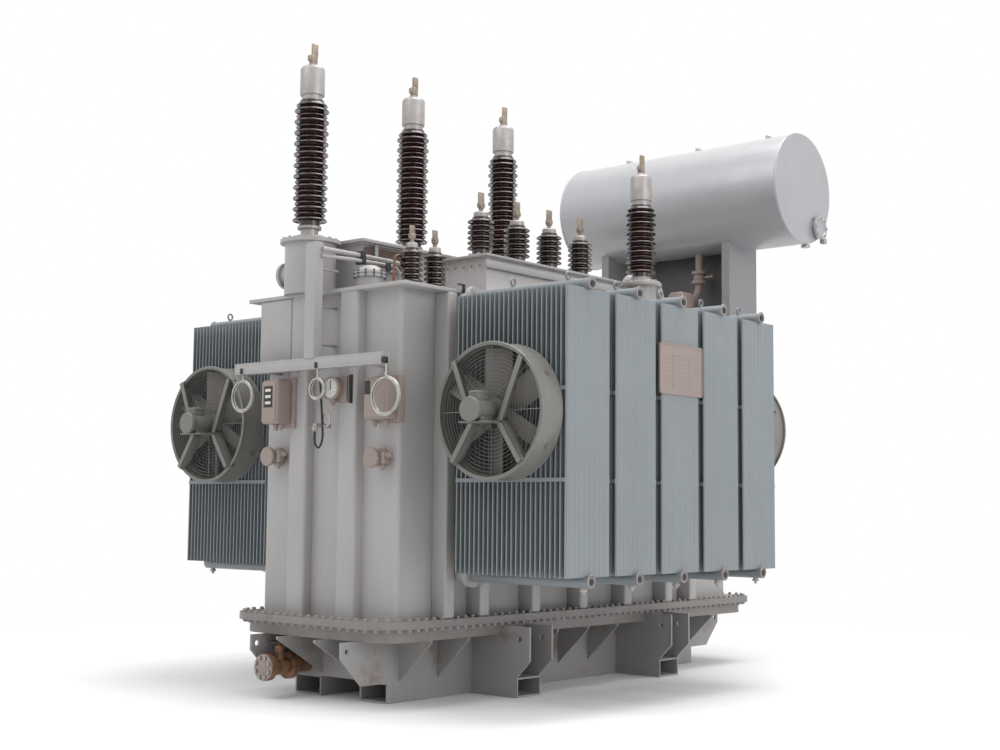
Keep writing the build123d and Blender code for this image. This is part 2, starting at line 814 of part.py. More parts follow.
print("tank rear", tank_rear_x, "plates out to", plate_outer_y, "conservator x", conservator_x)
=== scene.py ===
import json
import math

import bpy
from mathutils import Matrix, Vector


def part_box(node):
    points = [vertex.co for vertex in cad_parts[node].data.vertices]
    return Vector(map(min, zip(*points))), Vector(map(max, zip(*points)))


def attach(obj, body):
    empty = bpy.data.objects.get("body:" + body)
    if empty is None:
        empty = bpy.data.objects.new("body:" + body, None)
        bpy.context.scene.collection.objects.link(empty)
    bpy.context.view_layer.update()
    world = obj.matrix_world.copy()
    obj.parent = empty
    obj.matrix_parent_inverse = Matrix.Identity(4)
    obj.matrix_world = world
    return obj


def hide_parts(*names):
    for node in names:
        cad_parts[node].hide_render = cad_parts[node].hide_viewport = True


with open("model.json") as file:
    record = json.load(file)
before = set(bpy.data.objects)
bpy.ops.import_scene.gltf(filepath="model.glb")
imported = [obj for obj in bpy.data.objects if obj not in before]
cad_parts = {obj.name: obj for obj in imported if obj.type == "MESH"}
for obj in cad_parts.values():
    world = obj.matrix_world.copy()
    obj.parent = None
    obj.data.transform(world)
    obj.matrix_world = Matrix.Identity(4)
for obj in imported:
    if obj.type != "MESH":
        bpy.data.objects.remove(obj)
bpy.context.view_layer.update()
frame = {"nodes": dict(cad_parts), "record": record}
bpy.ops.object.select_all(action="DESELECT")
scene = bpy.context.scene
scene.view_settings.view_transform = "Standard"

# The camera stands where the photographer stood
camera_place = Vector((-10.36506, -8.41643, 1.49539))
camera_yaw = 0.7075
camera_pitch = 0.092
camera_roll = 0.0092
camera_lens = 51.908


def place_camera():
    """Sets the camera from its place and its three turns."""
    forward = Vector((math.cos(camera_yaw) * math.cos(camera_pitch),
                      math.sin(camera_yaw) * math.cos(camera_pitch),
                      math.sin(camera_pitch)))
    level = forward.cross(Vector((0, 0, 1))).normalized()
    upright = level.cross(forward)
    right = level * math.cos(camera_roll) + upright * math.sin(camera_roll)
    up = upright * math.cos(camera_roll) - level * math.sin(camera_roll)
    data = bpy.data.cameras.new("camera")
    data.sensor_width = 36
    data.lens = camera_lens
    data.clip_end = 200
    camera = bpy.data.objects.new("camera", data)
    scene.collection.objects.link(camera)
    turn = Matrix((right, up, -forward)).transposed()
    camera.matrix_world = Matrix.Translation(camera_place) @ turn.to_4x4()
    scene.camera = camera


place_camera()

# Light: a bright even sky, a key over the instrument end, a stronger lamp above
# and a fill from the plate's side
sky_strength = 0.74
key_watts = 540
top_watts = 1150
fill_watts = 500


def area_lamp(name, place, aim, size, watts):
    """Adds a square area lamp that points at aim."""
    data = bpy.data.lights.new(name, "AREA")
    data.energy = watts
    data.size = size
    lamp = bpy.data.objects.new(name, data)
    scene.collection.objects.link(lamp)
    lamp.location = place
    lamp.rotation_euler = (Vector(aim) - Vector(place)).to_track_quat("-Z", "Y").to_euler()


area_lamp("key_lamp", (-10, 3, 13), (0, 0, 2), 9, key_watts)
area_lamp("top_lamp", (1, -2, 13), (0, 0, 2), 8, top_watts)
area_lamp("fill_lamp", (-1, -14, 6), (0, 0, 2), 8, fill_watts)


# Node helpers for the finishes
def add_node(tree, kind, inputs=None, **settings):
    """Adds a node, sets it up and fills its inputs with values or with other nodes' outputs."""
    made = tree.nodes.new(kind)
    for name, value in settings.items():
        setattr(made, name, value)
    for name, value in (inputs or {}).items():
        socket = made.inputs[name]
        if isinstance(value, bpy.types.NodeSocket):
            tree.links.new(value, socket)
        else:
            socket.default_value = value
    return made


def blank_finish(name):
    """A new material with its shader and output alone: the tree and the shader."""
    made = bpy.data.materials.new(name)
    made.use_nodes = True
    tree = made.node_tree
    tree.nodes.clear()
    output = tree.nodes.new("ShaderNodeOutputMaterial")
    shader = tree.nodes.new("ShaderNodeBsdfPrincipled")
    tree.links.new(shader.outputs["BSDF"], output.inputs["Surface"])
    return made, tree, shader


def object_place(tree, stretch=(1, 1, 1)):
    """Object coordinates, stretched along the axes."""
    source = add_node(tree, "ShaderNodeTexCoord")
    mapping = add_node(tree, "ShaderNodeMapping", {"Vector": source.outputs["Object"], "Scale": stretch})
    return mapping.outputs["Vector"]


def noise(tree, scale, stretch=(1, 1, 1), detail=4.0, low=0.0, high=1.0, roughness=0.5):
    """A cloudy pattern, spread from low to high."""
    cloud = add_node(tree, "ShaderNodeTexNoise", {"Vector": object_place(tree, stretch), "Scale": scale,
                                                  "Detail": detail, "Roughness": roughness})
    spread = add_node(tree, "ShaderNodeMapRange",
                      {"Value": cloud.outputs["Fac"], "From Min": 0.3, "From Max": 0.7,
                                                   "To Min": low, "To Max": high})
    return spread.outputs["Result"]


def mixed(tree, share, first, second):
    """A colour mixed from two by a share."""
    mix = add_node(tree, "ShaderNodeMix", data_type="RGBA")
    for socket, value in ((mix.inputs[0], share), (mix.inputs[6], first), (mix.inputs[7], second)):
        if isinstance(value, bpy.types.NodeSocket):
            tree.links.new(value, socket)
        elif isinstance(value, (int, float)):
            socket.default_value = value
        else:
            socket.default_value = (*value, 1)
    return mix.outputs[2]


def shade(colour, factor):
    """A colour made darker or lighter."""
    return tuple(min(1.0, channel * factor) for channel in colour)


def srgb(red, green, blue):
    """A colour on the 0 to 255 scale, in the linear values that shaders take."""
    def linear(value):
        value /= 255
        return value / 12.92 if value <= 0.04045 else ((value + 0.055) / 1.055) ** 2.4
    return linear(red), linear(green), linear(blue)


def bump(tree, height, strength, distance):
    """A bump from a height pattern."""
    made = add_node(tree, "ShaderNodeBump", {"Height": height, "Strength": strength, "Distance": distance})
    return made.outputs["Normal"]


# Finishes
# a pale colour laid on upward faces, for dust and for painted light from above
dust_and_highlight_colour = srgb(186, 182, 174)
rust_colour = srgb(112, 78, 56)


def painted_steel(name, colour, roughness=0.42, metallic=0.0, grime=0.5, top_dust_and_light=0.5, coat=0.0,
                  peel=0.1, rust=0.0):
    """Sprayed paint on plate: faint clouds, rain streaks, dust and painted top light on what faces up and a
    slight orange peel.
    """
    made, tree, shader = blank_finish(name)
    clouds = noise(tree, 1.3, low=0.0, high=1.0)
    base = mixed(tree, clouds, shade(colour, 0.95), shade(colour, 1.04))
    streaks = noise(tree, 1.0, stretch=(9, 9, 0.35), detail=6, low=-0.5, high=1.0)
    streaked = mixed(tree,
                     add_node(tree, "ShaderNodeMath", {0: streaks, 1: 0.22 * grime}, operation="MULTIPLY",
                                    use_clamp=True).outputs[0], base, shade(colour, 0.62))
    facing = add_node(tree, "ShaderNodeNewGeometry")
    upward = add_node(tree, "ShaderNodeSeparateXYZ", {"Vector": facing.outputs["Normal"]})
    # faces that point up are lightened: partly dust, partly painted light from above
    top_dust_and_light_mask = add_node(tree, "ShaderNodeMapRange",
                       {"Value": upward.outputs["Z"], "From Min": 0.55, "From Max": 1.0,
                                                    "To Min": 0.0, "To Max": 0.35 * top_dust_and_light})
    dusted_and_lit = mixed(tree, top_dust_and_light_mask.outputs["Result"], streaked, dust_and_highlight_colour)
    spots = add_node(tree, "ShaderNodeMath",
                     {0: noise(tree, 3.3, detail=9, low=-3.2, high=1.6, roughness=0.68), 1: rust},
                     operation="MULTIPLY", use_clamp=True)
    tree.links.new(mixed(tree, spots.outputs[0], dusted_and_lit, rust_colour), shader.inputs["Base Color"])
    tree.links.new(noise(tree, 5.0, low=roughness - 0.06, high=roughness + 0.1), shader.inputs["Roughness"])
    tree.links.new(bump(tree, noise(tree, 160.0, detail=2), peel, 0.0006), shader.inputs["Normal"])
    shader.inputs["Metallic"].default_value = metallic
    shader.inputs["Coat Weight"].default_value = coat
    shader.inputs["Coat Roughness"].default_value = 0.2
    return made


def glazed_porcelain(name):
    """Dark brown glaze, slightly uneven, with a hard gloss."""
    made, tree, shader = blank_finish(name)
    glaze = mixed(tree, noise(tree, 7.0, detail=3), srgb(32, 17, 15), srgb(50, 28, 23))
    tree.links.new(glaze, shader.inputs["Base Color"])
    tree.links.new(noise(tree, 18.0, low=0.12, high=0.24), shader.inputs["Roughness"])
    tree.links.new(bump(tree, noise(tree, 45.0, detail=2), 0.08, 0.001), shader.inputs["Normal"])
    shader.inputs["Coat Weight"].default_value = 0.35
    shader.inputs["Coat Roughness"].default_value = 0.08
    return made


def bare_metal(name, colour, roughness=0.35, grain=60.0, tarnish=0.3, dark=(0.10, 0.08, 0.06),
               metallic=1.0):
    """Cast or rolled metal, with a fine grain and patches of tarnish."""
    made, tree, shader = blank_finish(name)
    patches = noise(tree, 14.0, detail=6, low=-0.3, high=1.0)
    share = add_node(tree, "ShaderNodeMath", {0: patches, 1: tarnish}, operation="MULTIPLY", use_clamp=True)
    tree.links.new(mixed(tree, share.outputs[0], colour, dark), shader.inputs["Base Color"])
    tree.links.new(noise(tree, 30.0, low=roughness - 0.08, high=roughness + 0.14),
                   shader.inputs["Roughness"])
    tree.links.new(bump(tree, noise(tree, grain, detail=3), 0.15, 0.0006), shader.inputs["Normal"])
    shader.inputs["Metallic"].default_value = metallic
    return made


tank_colour = srgb(160, 158, 157)
finishes = {
    "tank_paint": painted_steel("tank_paint", tank_colour),
    "base_paint": painted_steel("base_paint", srgb(146, 144, 143), grime=0.8, rust=0.35),
    "radiator_paint": painted_steel("radiator_paint", srgb(122, 128, 132), roughness=0.38, grime=0.5),
    "fan_paint": painted_steel("fan_paint", srgb(113, 112, 108), roughness=0.42, grime=0.6),
    "rotor_paint": painted_steel("rotor_paint", srgb(112, 109, 105), roughness=0.4),
    # the strong upward-face value lays a painted highlight on the drum's top as well as dust
    "silver_paint": painted_steel("silver_paint", srgb(160, 161, 164), roughness=0.34, metallic=0.25,
                                  grime=0.15, top_dust_and_light=0.9, coat=0.3, peel=0.03),
    "porcelain": glazed_porcelain("porcelain"),
    "cast_aluminium": bare_metal("cast_aluminium", srgb(164, 160, 158), roughness=0.42, tarnish=0.25,
                                 dark=srgb(120, 112, 106), metallic=0.4),
    "terminal_brass": bare_metal("terminal_brass", srgb(148, 136, 122), roughness=0.45, tarnish=0.5,
                                 dark=srgb(100, 86, 72), metallic=0.4),
    "instrument_enamel": painted_steel("instrument_enamel", srgb(143, 129, 123), roughness=0.5, grime=0.4),
    "conduit_metal": bare_metal("conduit_metal", srgb(176, 174, 170), roughness=0.4, tarnish=0.35,
                                dark=srgb(90, 84, 78)),
    "valve_bronze": bare_metal("valve_bronze", srgb(150, 112, 84), roughness=0.5, tarnish=0.8,
                               dark=srgb(62, 50, 42), metallic=0.35),
    # a darker copy of the base paint: painted shade on the pan and flanges, with real grime and rust
    "shaded_pan_paint": painted_steel("shaded_pan_paint", srgb(122, 118, 116), grime=0.9, rust=0.3),
    # a lighter copy of the tank paint: painted light on the raised boxes
    "lit_box_paint": painted_steel("lit_box_paint", srgb(186, 184, 183)),
    "leg_paint": painted_steel("leg_paint", srgb(134, 134, 137), roughness=0.4, grime=0.3),
    "dial_white": painted_steel("dial_white", srgb(200, 198, 192), roughness=0.35, grime=0.1, top_dust_and_light=0.1),
    # a dark brown for painted shade under the raised box's ledge
    "shade_brown": painted_steel("shade_brown", srgb(84, 64, 60), roughness=0.6, grime=0.6, top_dust_and_light=0.2),
    # dark steel for the dome studs, and painted shade on the panel between the legs
    "dark_steel_and_shade": painted_steel("dark_steel_and_shade", srgb(78, 78, 81), roughness=0.5, grime=0.4, top_dust_and_light=0.2),
    "black_plastic": painted_steel("black_plastic", srgb(34, 34, 34), roughness=0.5, grime=0.2, top_dust_and_light=0.4),
}

# CAD nodes that wear another finish than their slot's
# the pan and flanges wear the darker paint as painted shade
own_finish = {"lower_pan": "shaded_pan_paint", "lower_flange": "shaded_pan_paint", "upper_flange": "shaded_pan_paint",
              # the raised boxes wear the lighter paint as painted light
              "conservator_supports": "leg_paint", "hv_box": "lit_box_paint", "lv_box": "lit_box_paint"}


def dress_cad_nodes():
    """Gives each CAD node its own finish, or else that of its material slot."""
    slots = {part["node"]: part["material_slot"] for part in frame["record"]["subparts"]}
    for name, node in frame["nodes"].items():
        for place in node.material_slots:
            place.material = finishes[own_finish.get(name, slots[name])]


dress_cad_nodes()


# Coils of flexible conduit, hung from the trunking
coil_plane_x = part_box("conduit_coil_left")[0].x + 0.018
conduit_diameter = 0.018
coil_points = 14
coil_turns = 2.6
tray_bottom = 2.555
coils = (
    ("left", 0.762, 2.38, 0.125),
    ("middle", -0.13, 2.4, 0.08),
    ("right", -0.874, 2.312, 0.142),
)


def coil_route(y, z, radius):
    """The tail down from the trunking, then turns that lie side by side."""
    side = conduit_diameter / 2
    route = [Vector((coil_plane_x, y,
                     tray_bottom - step * (tray_bottom - z - radius) / 3)) for step in range(3)]
    count = int(coil_turns * coil_points)
    for step in range(count + 1):
        angle = math.pi / 2 + 2 * math.pi * step / coil_points
        lap = step / coil_points
        across = side * (1 if int(lap) % 2 else -1)
        out = radius + side * (0.9 - 1.8 * lap / coil_turns)
        route.append(Vector((coil_plane_x + across, y + out * math.cos(angle), z + out * math.sin(angle))))
    return route


def hang_coil(name, y, z, radius):
    """One coil as a smooth cord."""
    route = coil_route(y, z, radius)
    curve = bpy.data.curves.new("coil_of_conduit_" + name, "CURVE")
    curve.dimensions = "3D"
    curve.bevel_depth = conduit_diameter / 2
    curve.bevel_resolution = 3
    curve.resolution_u = 6
    curve.use_fill_caps = True
    spline = curve.splines.new("NURBS")
    spline.points.add(len(route) - 1)
    for point, place in zip(spline.points, route):
        point.co = (*place, 1)
    spline.order_u = 3
    spline.use_endpoint_u = True
    piece = bpy.data.objects.new("coil_of_conduit_" + name, curve)
    scene.collection.objects.link(piece)
    curve.materials.append(finishes["conduit_metal"])
    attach(piece, "root")
    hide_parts("conduit_coil_" + name)


for coil in coils:
    hang_coil(*coil)


def take_up(piece):
    """Makes one piece the only one selected."""
    bpy.ops.object.select_all(action="DESELECT")
    piece.select_set(True)
    bpy.context.view_layer.objects.active = piece


def settle(piece, name, slot, body="root", smooth=None, replaced=()):
    """Names a finished piece, gives it its finish and hangs it on its body."""
    take_up(piece)
    bpy.ops.object.transform_apply(location=True, rotation=True, scale=True)
    if smooth:
        bpy.ops.object.shade_smooth_by_angle(angle=math.radians(smooth))
    piece.name = name
    piece.data.name = name
    piece.data.materials.clear()
    piece.data.materials.append(finishes[slot])
    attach(piece, body)
    if replaced:
        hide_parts(*replaced)
    bpy.ops.object.select_all(action="DESELECT")


def bevelled(piece, width, segments=2):
    """Rounds all the sharp edges of a piece."""
    take_up(piece)
    modifier = piece.modifiers.new("edge", "BEVEL")
    modifier.width = width
    modifier.segments = segments
    modifier.limit_method = "ANGLE"
    bpy.ops.object.modifier_apply(modifier=modifier.name)
    return piece


def slab(low, high, edge=0.003, segments=2):
    """A plate or box between two corners, with its edges rounded."""
    low, high = Vector(low), Vector(high)
    bpy.ops.mesh.primitive_cube_add(size=1, location=(low + high) / 2)
    piece = bpy.context.object
    piece.scale = high - low
    bpy.ops.object.transform_apply(location=True, rotation=True, scale=True)
    return bevelled(piece, edge, segments) if edge else piece


def joined(pieces):
    """Several shapes as one piece."""
    take_up(pieces[0])
    for piece in pieces:
        piece.select_set(True)
    if len(pieces) > 1:
        bpy.ops.object.join()
    return bpy.context.object


def round_upright_edges(piece, at_x, width, segments):
    """Rounds a box's upright edges at one end."""
    take_up(piece)
    bpy.ops.object.mode_set(mode="EDIT")
    bpy.ops.mesh.select_all(action="DESELECT")
    bpy.ops.mesh.select_mode(type="EDGE")
    bpy.ops.object.mode_set(mode="OBJECT")
    for edge in piece.data.edges:
        first, second = (piece.data.vertices[i].co for i in edge.vertices)
        edge.select = (abs(first.x - at_x) < 0.001 and abs(second.x - at_x) < 0.001
                       and abs(first.z - second.z) > 0.01 and abs(first.y - second.y) < 0.001)
    bpy.ops.object.mode_set(mode="EDIT")
    bpy.ops.mesh.bevel(offset=width, segments=segments)
    bpy.ops.object.mode_set(mode="OBJECT")


def turned(outline, sides=32):
    """A piece turned about Z, drawn out of a disc step by step along radius and height pairs."""
    radius, height = outline[0]
    bpy.ops.mesh.primitive_circle_add(vertices=sides, radius=radius, fill_type="NGON",
                                      location=(0, 0, height))
    piece = bpy.context.object
    bpy.ops.object.transform_apply(location=True, rotation=True, scale=True)
    bpy.ops.object.mode_set(mode="EDIT")
    bpy.ops.mesh.select_all(action="SELECT")
    for next_radius, next_height in outline[1:]:
        bpy.ops.mesh.extrude_region_move(TRANSFORM_OT_translate={"value": (0, 0, next_height - height)})
        share = next_radius / radius
        if abs(share - 1) > 1e-6:
            bpy.ops.transform.resize(value=(share, share, 1), center_override=(0, 0, next_height))
        radius, height = next_radius, next_height
    bpy.ops.mesh.select_all(action="SELECT")
    bpy.ops.mesh.normals_make_consistent(inside=False)
    bpy.ops.object.mode_set(mode="OBJECT")
    return piece


def copies(master, places):
    """Copies of one shape, each at its place and along its own direction; the master goes."""
    made = []
    for place in places:
        spot, direction = Vector(place[0]), Vector(place[1])
        turn = direction.to_track_quat("Z", "Y").to_matrix().to_4x4()
        copy = master.copy()
        copy.data = master.data.copy()
        size = place[2] if len(place) > 2 else 1
        copy.data.transform(Matrix.Translation(spot) @ turn @ Matrix.Scale(size, 4))
        scene.collection.objects.link(copy)
        made.append(copy)
    bpy.data.objects.remove(master)
    return joined(made)


def pipe(route, radius, sides=3, order=3):
    """A bent pipe along its points."""
    curve = bpy.data.curves.new("pipe", "CURVE")
    curve.dimensions = "3D"
    curve.bevel_depth = radius
    curve.bevel_resolution = sides
    curve.resolution_u = 5
    curve.use_fill_caps = True
    spline = curve.splines.new("NURBS" if order > 2 else "POLY")
    spline.points.add(len(route) - 1)
    for point, place in zip(spline.points, route):
        point.co = (*place, 1)
    if order > 2:
        spline.order_u = order
        spline.use_endpoint_u = True
    piece = bpy.data.objects.new("pipe", curve)
    scene.collection.objects.link(piece)
    take_up(piece)
    bpy.ops.object.convert(target="MESH")
    return bpy.context.object


def around(count, radius, first=0.0):
    """Offsets evenly round a circle, from the angle of the first one."""
    angles = [first + 2 * math.pi * i / count for i in range(count)]
    return [(radius * math.cos(angle), radius * math.sin(angle)) for angle in angles]


UP, DOWN = (0, 0, 1), (0, 0, -1)
FRONT, REAR, RIGHT, LEFT = (-1, 0, 0), (1, 0, 0), (0, -1, 0), (0, 1, 0)


# Places that several pieces share
cover_top = 3.198
turret_x, high_voltage_y, high_box_top = -2.537, 0.325, 3.650
low_voltage_y, low_box_top = -0.5, 3.580
neutral_x, neutral_y = 0.655, -0.72
dome_x, dome_y = -2.466, -0.300
dial_y, dial_z = -0.191, 2.407
relay_y = -0.30
drain_y, drain_z = 0.385, 0.240
gauge_x, gauge_z = 2.640, 4.340
drum_x, drum_z, drum_radius = 2.359, 4.701, 0.549
header_heights = (3.129, 0.974)


# The tank's walls, box stiffeners and cover
tank_front, tank_rear, tank_half, tank_base, tank_top = -2.585, 2.230, 0.760, 0.648, 3.168
walls = slab((tank_front, -tank_half, tank_base), (tank_rear, tank_half, tank_top), edge=0)
round_upright_edges(walls, tank_front, 0.04, 4)
round_upright_edges(walls, tank_rear, 0.30, 10)
settle(walls, "tank_walls", "tank_paint", smooth=30, replaced=("tank_shell",))

stiffeners = []
for wall, outward in ((tank_front, -1), (tank_rear, 1)):
    for y in (-0.283, 0.283):
        face = wall + outward * 0.095
        low_x, high_x = sorted((wall - outward * 0.004, face))
        box = slab((low_x, y - 0.1, tank_base), (high_x, y + 0.1, tank_top), edge=0)
        round_upright_edges(box, face, 0.028, 4)
        stiffeners.append(box)
for x in (-2.15, -1.74, -1.095, -0.45, 0.195, 0.84, 1.24):
    for side in (-1, 1):
        low_y, high_y = sorted((side * (tank_half - 0.004), side * 0.91))
        stiffeners.append(slab((x - 0.055, low_y, tank_base), (x + 0.055, high_y, tank_top), edge=0.018,
                               segments=3))
pocket = slab((tank_front - 0.095, 0.379, 2.6), (tank_front + 0.004, tank_half, tank_top), edge=0.012,
              segments=3)
stiffeners.append(pocket)
settle(joined(stiffeners), "tank_stiffeners", "tank_paint", smooth=30, replaced=("wall_stiffeners",))

cover = slab((-2.69, -0.9, 3.168), (2.32, 0.9, 3.198), edge=0)
round_upright_edges(cover, 2.32, 0.42, 10)
settle(bevelled(cover, 0.004), "cover_plate", "tank_paint", smooth=30, replaced=("tank_cover",))


# Bushings: each kind is turned once and copied
def shed_outline(foot_z, count):
    """Porcelain with a large and a small drooping shed in each pitch."""
    core, rim, small, pitch = 0.100, 0.142, 0.128, 0.091
    outline = [(0.083, foot_z), (0.086, foot_z + 0.040), (core, foot_z + 0.044)]
    for i in range(count):
        z = foot_z + 0.044 + i * pitch
        outline += [(core, z + 0.13 * pitch), (0.128, z + 0.05 * pitch), (rim - 0.002, z + 0.0 * pitch),
                    (rim, z + 0.05 * pitch), (rim - 0.002, z + 0.12 * pitch), (0.118, z + 0.28 * pitch),
                    (core, z + 0.44 * pitch),
                    (core, z + 0.62 * pitch), (0.118, z + 0.55 * pitch), (small - 0.002, z + 0.51 * pitch),
                    (small, z + 0.55 * pitch), (small - 0.002, z + 0.61 * pitch), (core, z + 0.88 * pitch)]
    outline.append((core, foot_z + 0.044 + count * pitch))
    return outline


# place, height of the neck, number of pitches
large_bushings = [((x, high_voltage_y, high_box_top), 0.095, 11) for x in (-2.554, -1.358, -0.128)]
large_bushings.append(((neutral_x, neutral_y, 3.600), 0.034, 7))
porcelain_pieces, foot_pieces, cap_pieces, clamp_pieces = [], [], [], []
bolt_circles = []
for place, neck, count in large_bushings:
    foot_z = neck + 0.022
    seat_z = foot_z + 0.042 + count * 0.091
    at_place = [(place, UP)]
    porcelain_pieces.append(copies(turned(shed_outline(foot_z, count), 40), at_place))
    foot_pieces.append(copies(turned([(0.150, 0.0), (0.150, 0.020), (0.147, 0.023), (0.076, 0.024),
                                      (0.072, 0.028),
                                      (0.072, neck - 0.008), (0.096, neck - 0.002), (0.098, neck),
                                      (0.098, neck + 0.020), (0.095, neck + 0.023), (0.05, neck + 0.023)],
                                     36),
                              at_place))
    cap_pieces.append(copies(turned([(0.060, seat_z), (0.085, seat_z + 0.001), (0.087, seat_z + 0.044),
                                     (0.099, seat_z + 0.049), (0.101, seat_z + 0.058),
                                     (0.101, seat_z + 0.262),
                                     (0.097, seat_z + 0.277), (0.088, seat_z + 0.287),
                                     (0.060, seat_z + 0.291),
                                     (0.040, seat_z + 0.294), (0.036, seat_z + 0.300),
                                     (0.036, seat_z + 0.318),
                                     (0.020, seat_z + 0.322)], 40), at_place))
    bolt_circles.append((place, 0.125, 8, place[2] + 0.023))
    x, y = place[0], place[1]
    top = place[2] + seat_z + 0.289
    lower = slab((x - 0.030, y - 0.022, top + 0.028), (x + 0.034, y + 0.018, top + 0.108), edge=0.006)
    upper = slab((x - 0.012, y - 0.010, top + 0.092), (x + 0.050, y + 0.012, top + 0.205), edge=0.007)
    shank = copies(turned([(0.016, 0), (0.016, 0.036), (0.022, 0.038), (0.022, 0.058), (0.010, 0.060)], 12),
                   [((x, y, top), UP)])
    ear = slab((x - 0.050, y - 0.016, top + 0.050), (x - 0.022, y + 0.014, top + 0.096), edge=0.005)
    clamp_pieces += [lower, upper, shank, ear]

small_bushings = [((x, low_voltage_y, low_box_top), 1.0) for x in (-1.374, -0.900, -0.454, 0.0)]
small_bushings += [((x, low_voltage_y, cover_top), 0.78) for x in (-2.202, -1.935)]
outline = [(0.073, 0.025), (0.073, 0.080)]
for i in range(6):
    z = 0.080 + i * 0.045
    outline += [(0.073, z + 0.011), (0.100, z + 0.005), (0.112, z), (0.113, z + 0.004), (0.111, z + 0.010),
                (0.092, z + 0.022), (0.073, z + 0.033)]
outline.append((0.073, 0.350))
for place, width in small_bushings:
    spread = Matrix.Diagonal((width, width, 1, 1))
    trio = (turned(outline, 32),
            turned([(0.113, 0), (0.113, 0.022), (0.109, 0.026), (0.074, 0.028), (0.074, 0.030)], 28),
            turned([(0.050, 0.350), (0.061, 0.352), (0.062, 0.356), (0.062, 0.386), (0.056, 0.394),
                    (0.03, 0.396)], 28))
    for piece, pile in zip(trio, (porcelain_pieces, foot_pieces, cap_pieces)):
        piece.data.transform(Matrix.Translation(place) @ spread)
        pile.append(piece)
    bolt_circles.append((place, 0.094 * width, 6, place[2] + 0.027))
    x, y, z = place[0], place[1], place[2] + 0.395
    stud = copies(turned([(0.018, 0), (0.018, 0.03), (0.026, 0.032), (0.026, 0.046), (0.014, 0.048),
                          (0.014, 0.07),
                          (0.01, 0.072)], 12), [((x, y, z), UP)])
    bar = slab((x - 0.034 * width, y - 0.009, z + 0.045),
               (x + 0.034 * width, y + 0.009, z + 0.045 + 0.125 * width),
               edge=0.005)
    clamp = slab((x - 0.030 * width, y - 0.026, z + 0.040), (x + 0.024 * width, y + 0.022, z + 0.080),
                 edge=0.006)
    clamp_pieces += [stud, bar, clamp]
settle(joined(porcelain_pieces), "porcelain_sheds", "porcelain", smooth=40,
       replaced=("hv_bushings", "lv_bushings"))
settle(joined(foot_pieces), "bushing_feet", "cast_aluminium", smooth=35, replaced=("bushing_flanges",))
settle(joined(cap_pieces), "bushing_heads", "cast_aluminium", smooth=35, replaced=("bushing_caps",))
settle(joined(clamp_pieces), "line_clamps", "terminal_brass", smooth=35, replaced=("bushing_terminals",))
settle(copies(turned([(0.140, 0), (0.140, 0.362), (0.148, 0.370), (0.193, 0.371), (0.195, 0.374),
                      (0.195, 0.400),
                      (0.190, 0.404), (0.15, 0.404)], 40), [((neutral_x, neutral_y, 3.196), UP)]),
       "neutral_riser", "tank_paint", smooth=35, replaced=("neutral_turret",))


# Bolts: a flanged hexagon head, and nuts below
def hexagon(radius, height):
    """A flanged hexagon head with a chamfered top."""
    bpy.ops.mesh.primitive_cylinder_add(vertices=6, radius=radius, depth=height,
                                        location=(0, 0, height / 2),
                                        end_fill_type="NGON")
    piece = bpy.context.object
    bpy.ops.object.transform_apply(location=True, rotation=True, scale=True)
    bpy.ops.object.mode_set(mode="EDIT")
    bpy.ops.mesh.select_mode(type="FACE")
    for top in (True, False):
        bpy.ops.mesh.select_all(action="DESELECT")
        bpy.ops.object.mode_set(mode="OBJECT")
        for face in piece.data.polygons:
            face.select = face.normal.z > 0.9 if top else face.normal.z < -0.9
        bpy.ops.object.mode_set(mode="EDIT")
        if top:
            bpy.ops.mesh.extrude_region_move(TRANSFORM_OT_translate={"value": (0, 0, 0.18 * height)})
            bpy.ops.transform.resize(value=(0.78, 0.78, 1), center_override=(0, 0, height))
        else:
            bpy.ops.mesh.extrude_region_move(TRANSFORM_OT_translate={"value": (0, 0, 0)})
            bpy.ops.transform.resize(value=(1.35, 1.35, 1), center_override=(0, 0, 0))
            bpy.ops.mesh.extrude_region_move(TRANSFORM_OT_translate={"value": (0, 0, -0.12 * height)})
    bpy.ops.mesh.select_all(action="SELECT")
    bpy.ops.mesh.normals_make_consistent(inside=False)
    bpy.ops.object.mode_set(mode="OBJECT")
    return piece


def along_rounded_box(low_x, high_x, half, corners, pitch):
    """Evenly spaced points round a rectangle with rounded corners, each with its outward direction."""
    points = []
    for (cx, cy), radius, start in (((high_x, half), corners[1], 0), ((low_x, half), corners[0], 90),
                                    ((low_x, -half), corners[0], 180), ((high_x, -half), corners[1], 270)):
        mid_x = cx - radius if cx == high_x else cx + radius
        mid_y = cy - radius if cy > 0 else cy + radius
        for step in range(9):
            angle = math.radians(start + step * 90 / 8)
            points.append(Vector((mid_x + radius * math.cos(angle), mid_y + radius * math.sin(angle), 0)))
    points.append(points[0])
    total = sum((after - before).length for before, after in zip(points, points[1:]))
    count = round(total / pitch)
    places, walked, goal = [], 0.0, 0.0
    for before, after in zip(points, points[1:]):
        run = (after - before).length
        while goal < walked + run and len(places) < count:
            places.append(before.lerp(after, (goal - walked) / run))
            goal += total / count
        walked += run
    return places


rim_points = along_rounded_box(-2.808, 2.373, 0.888, (0.27, 0.27), 0.088)
settle(copies(hexagon(0.017, 0.016), [((p.x, p.y, 0.650), UP) for p in rim_points]), "flange_bolts",
       "base_paint")
settle(copies(hexagon(0.017, 0.018), [((p.x, p.y, 0.590), DOWN) for p in rim_points]), "flange_nuts",
       "base_paint")

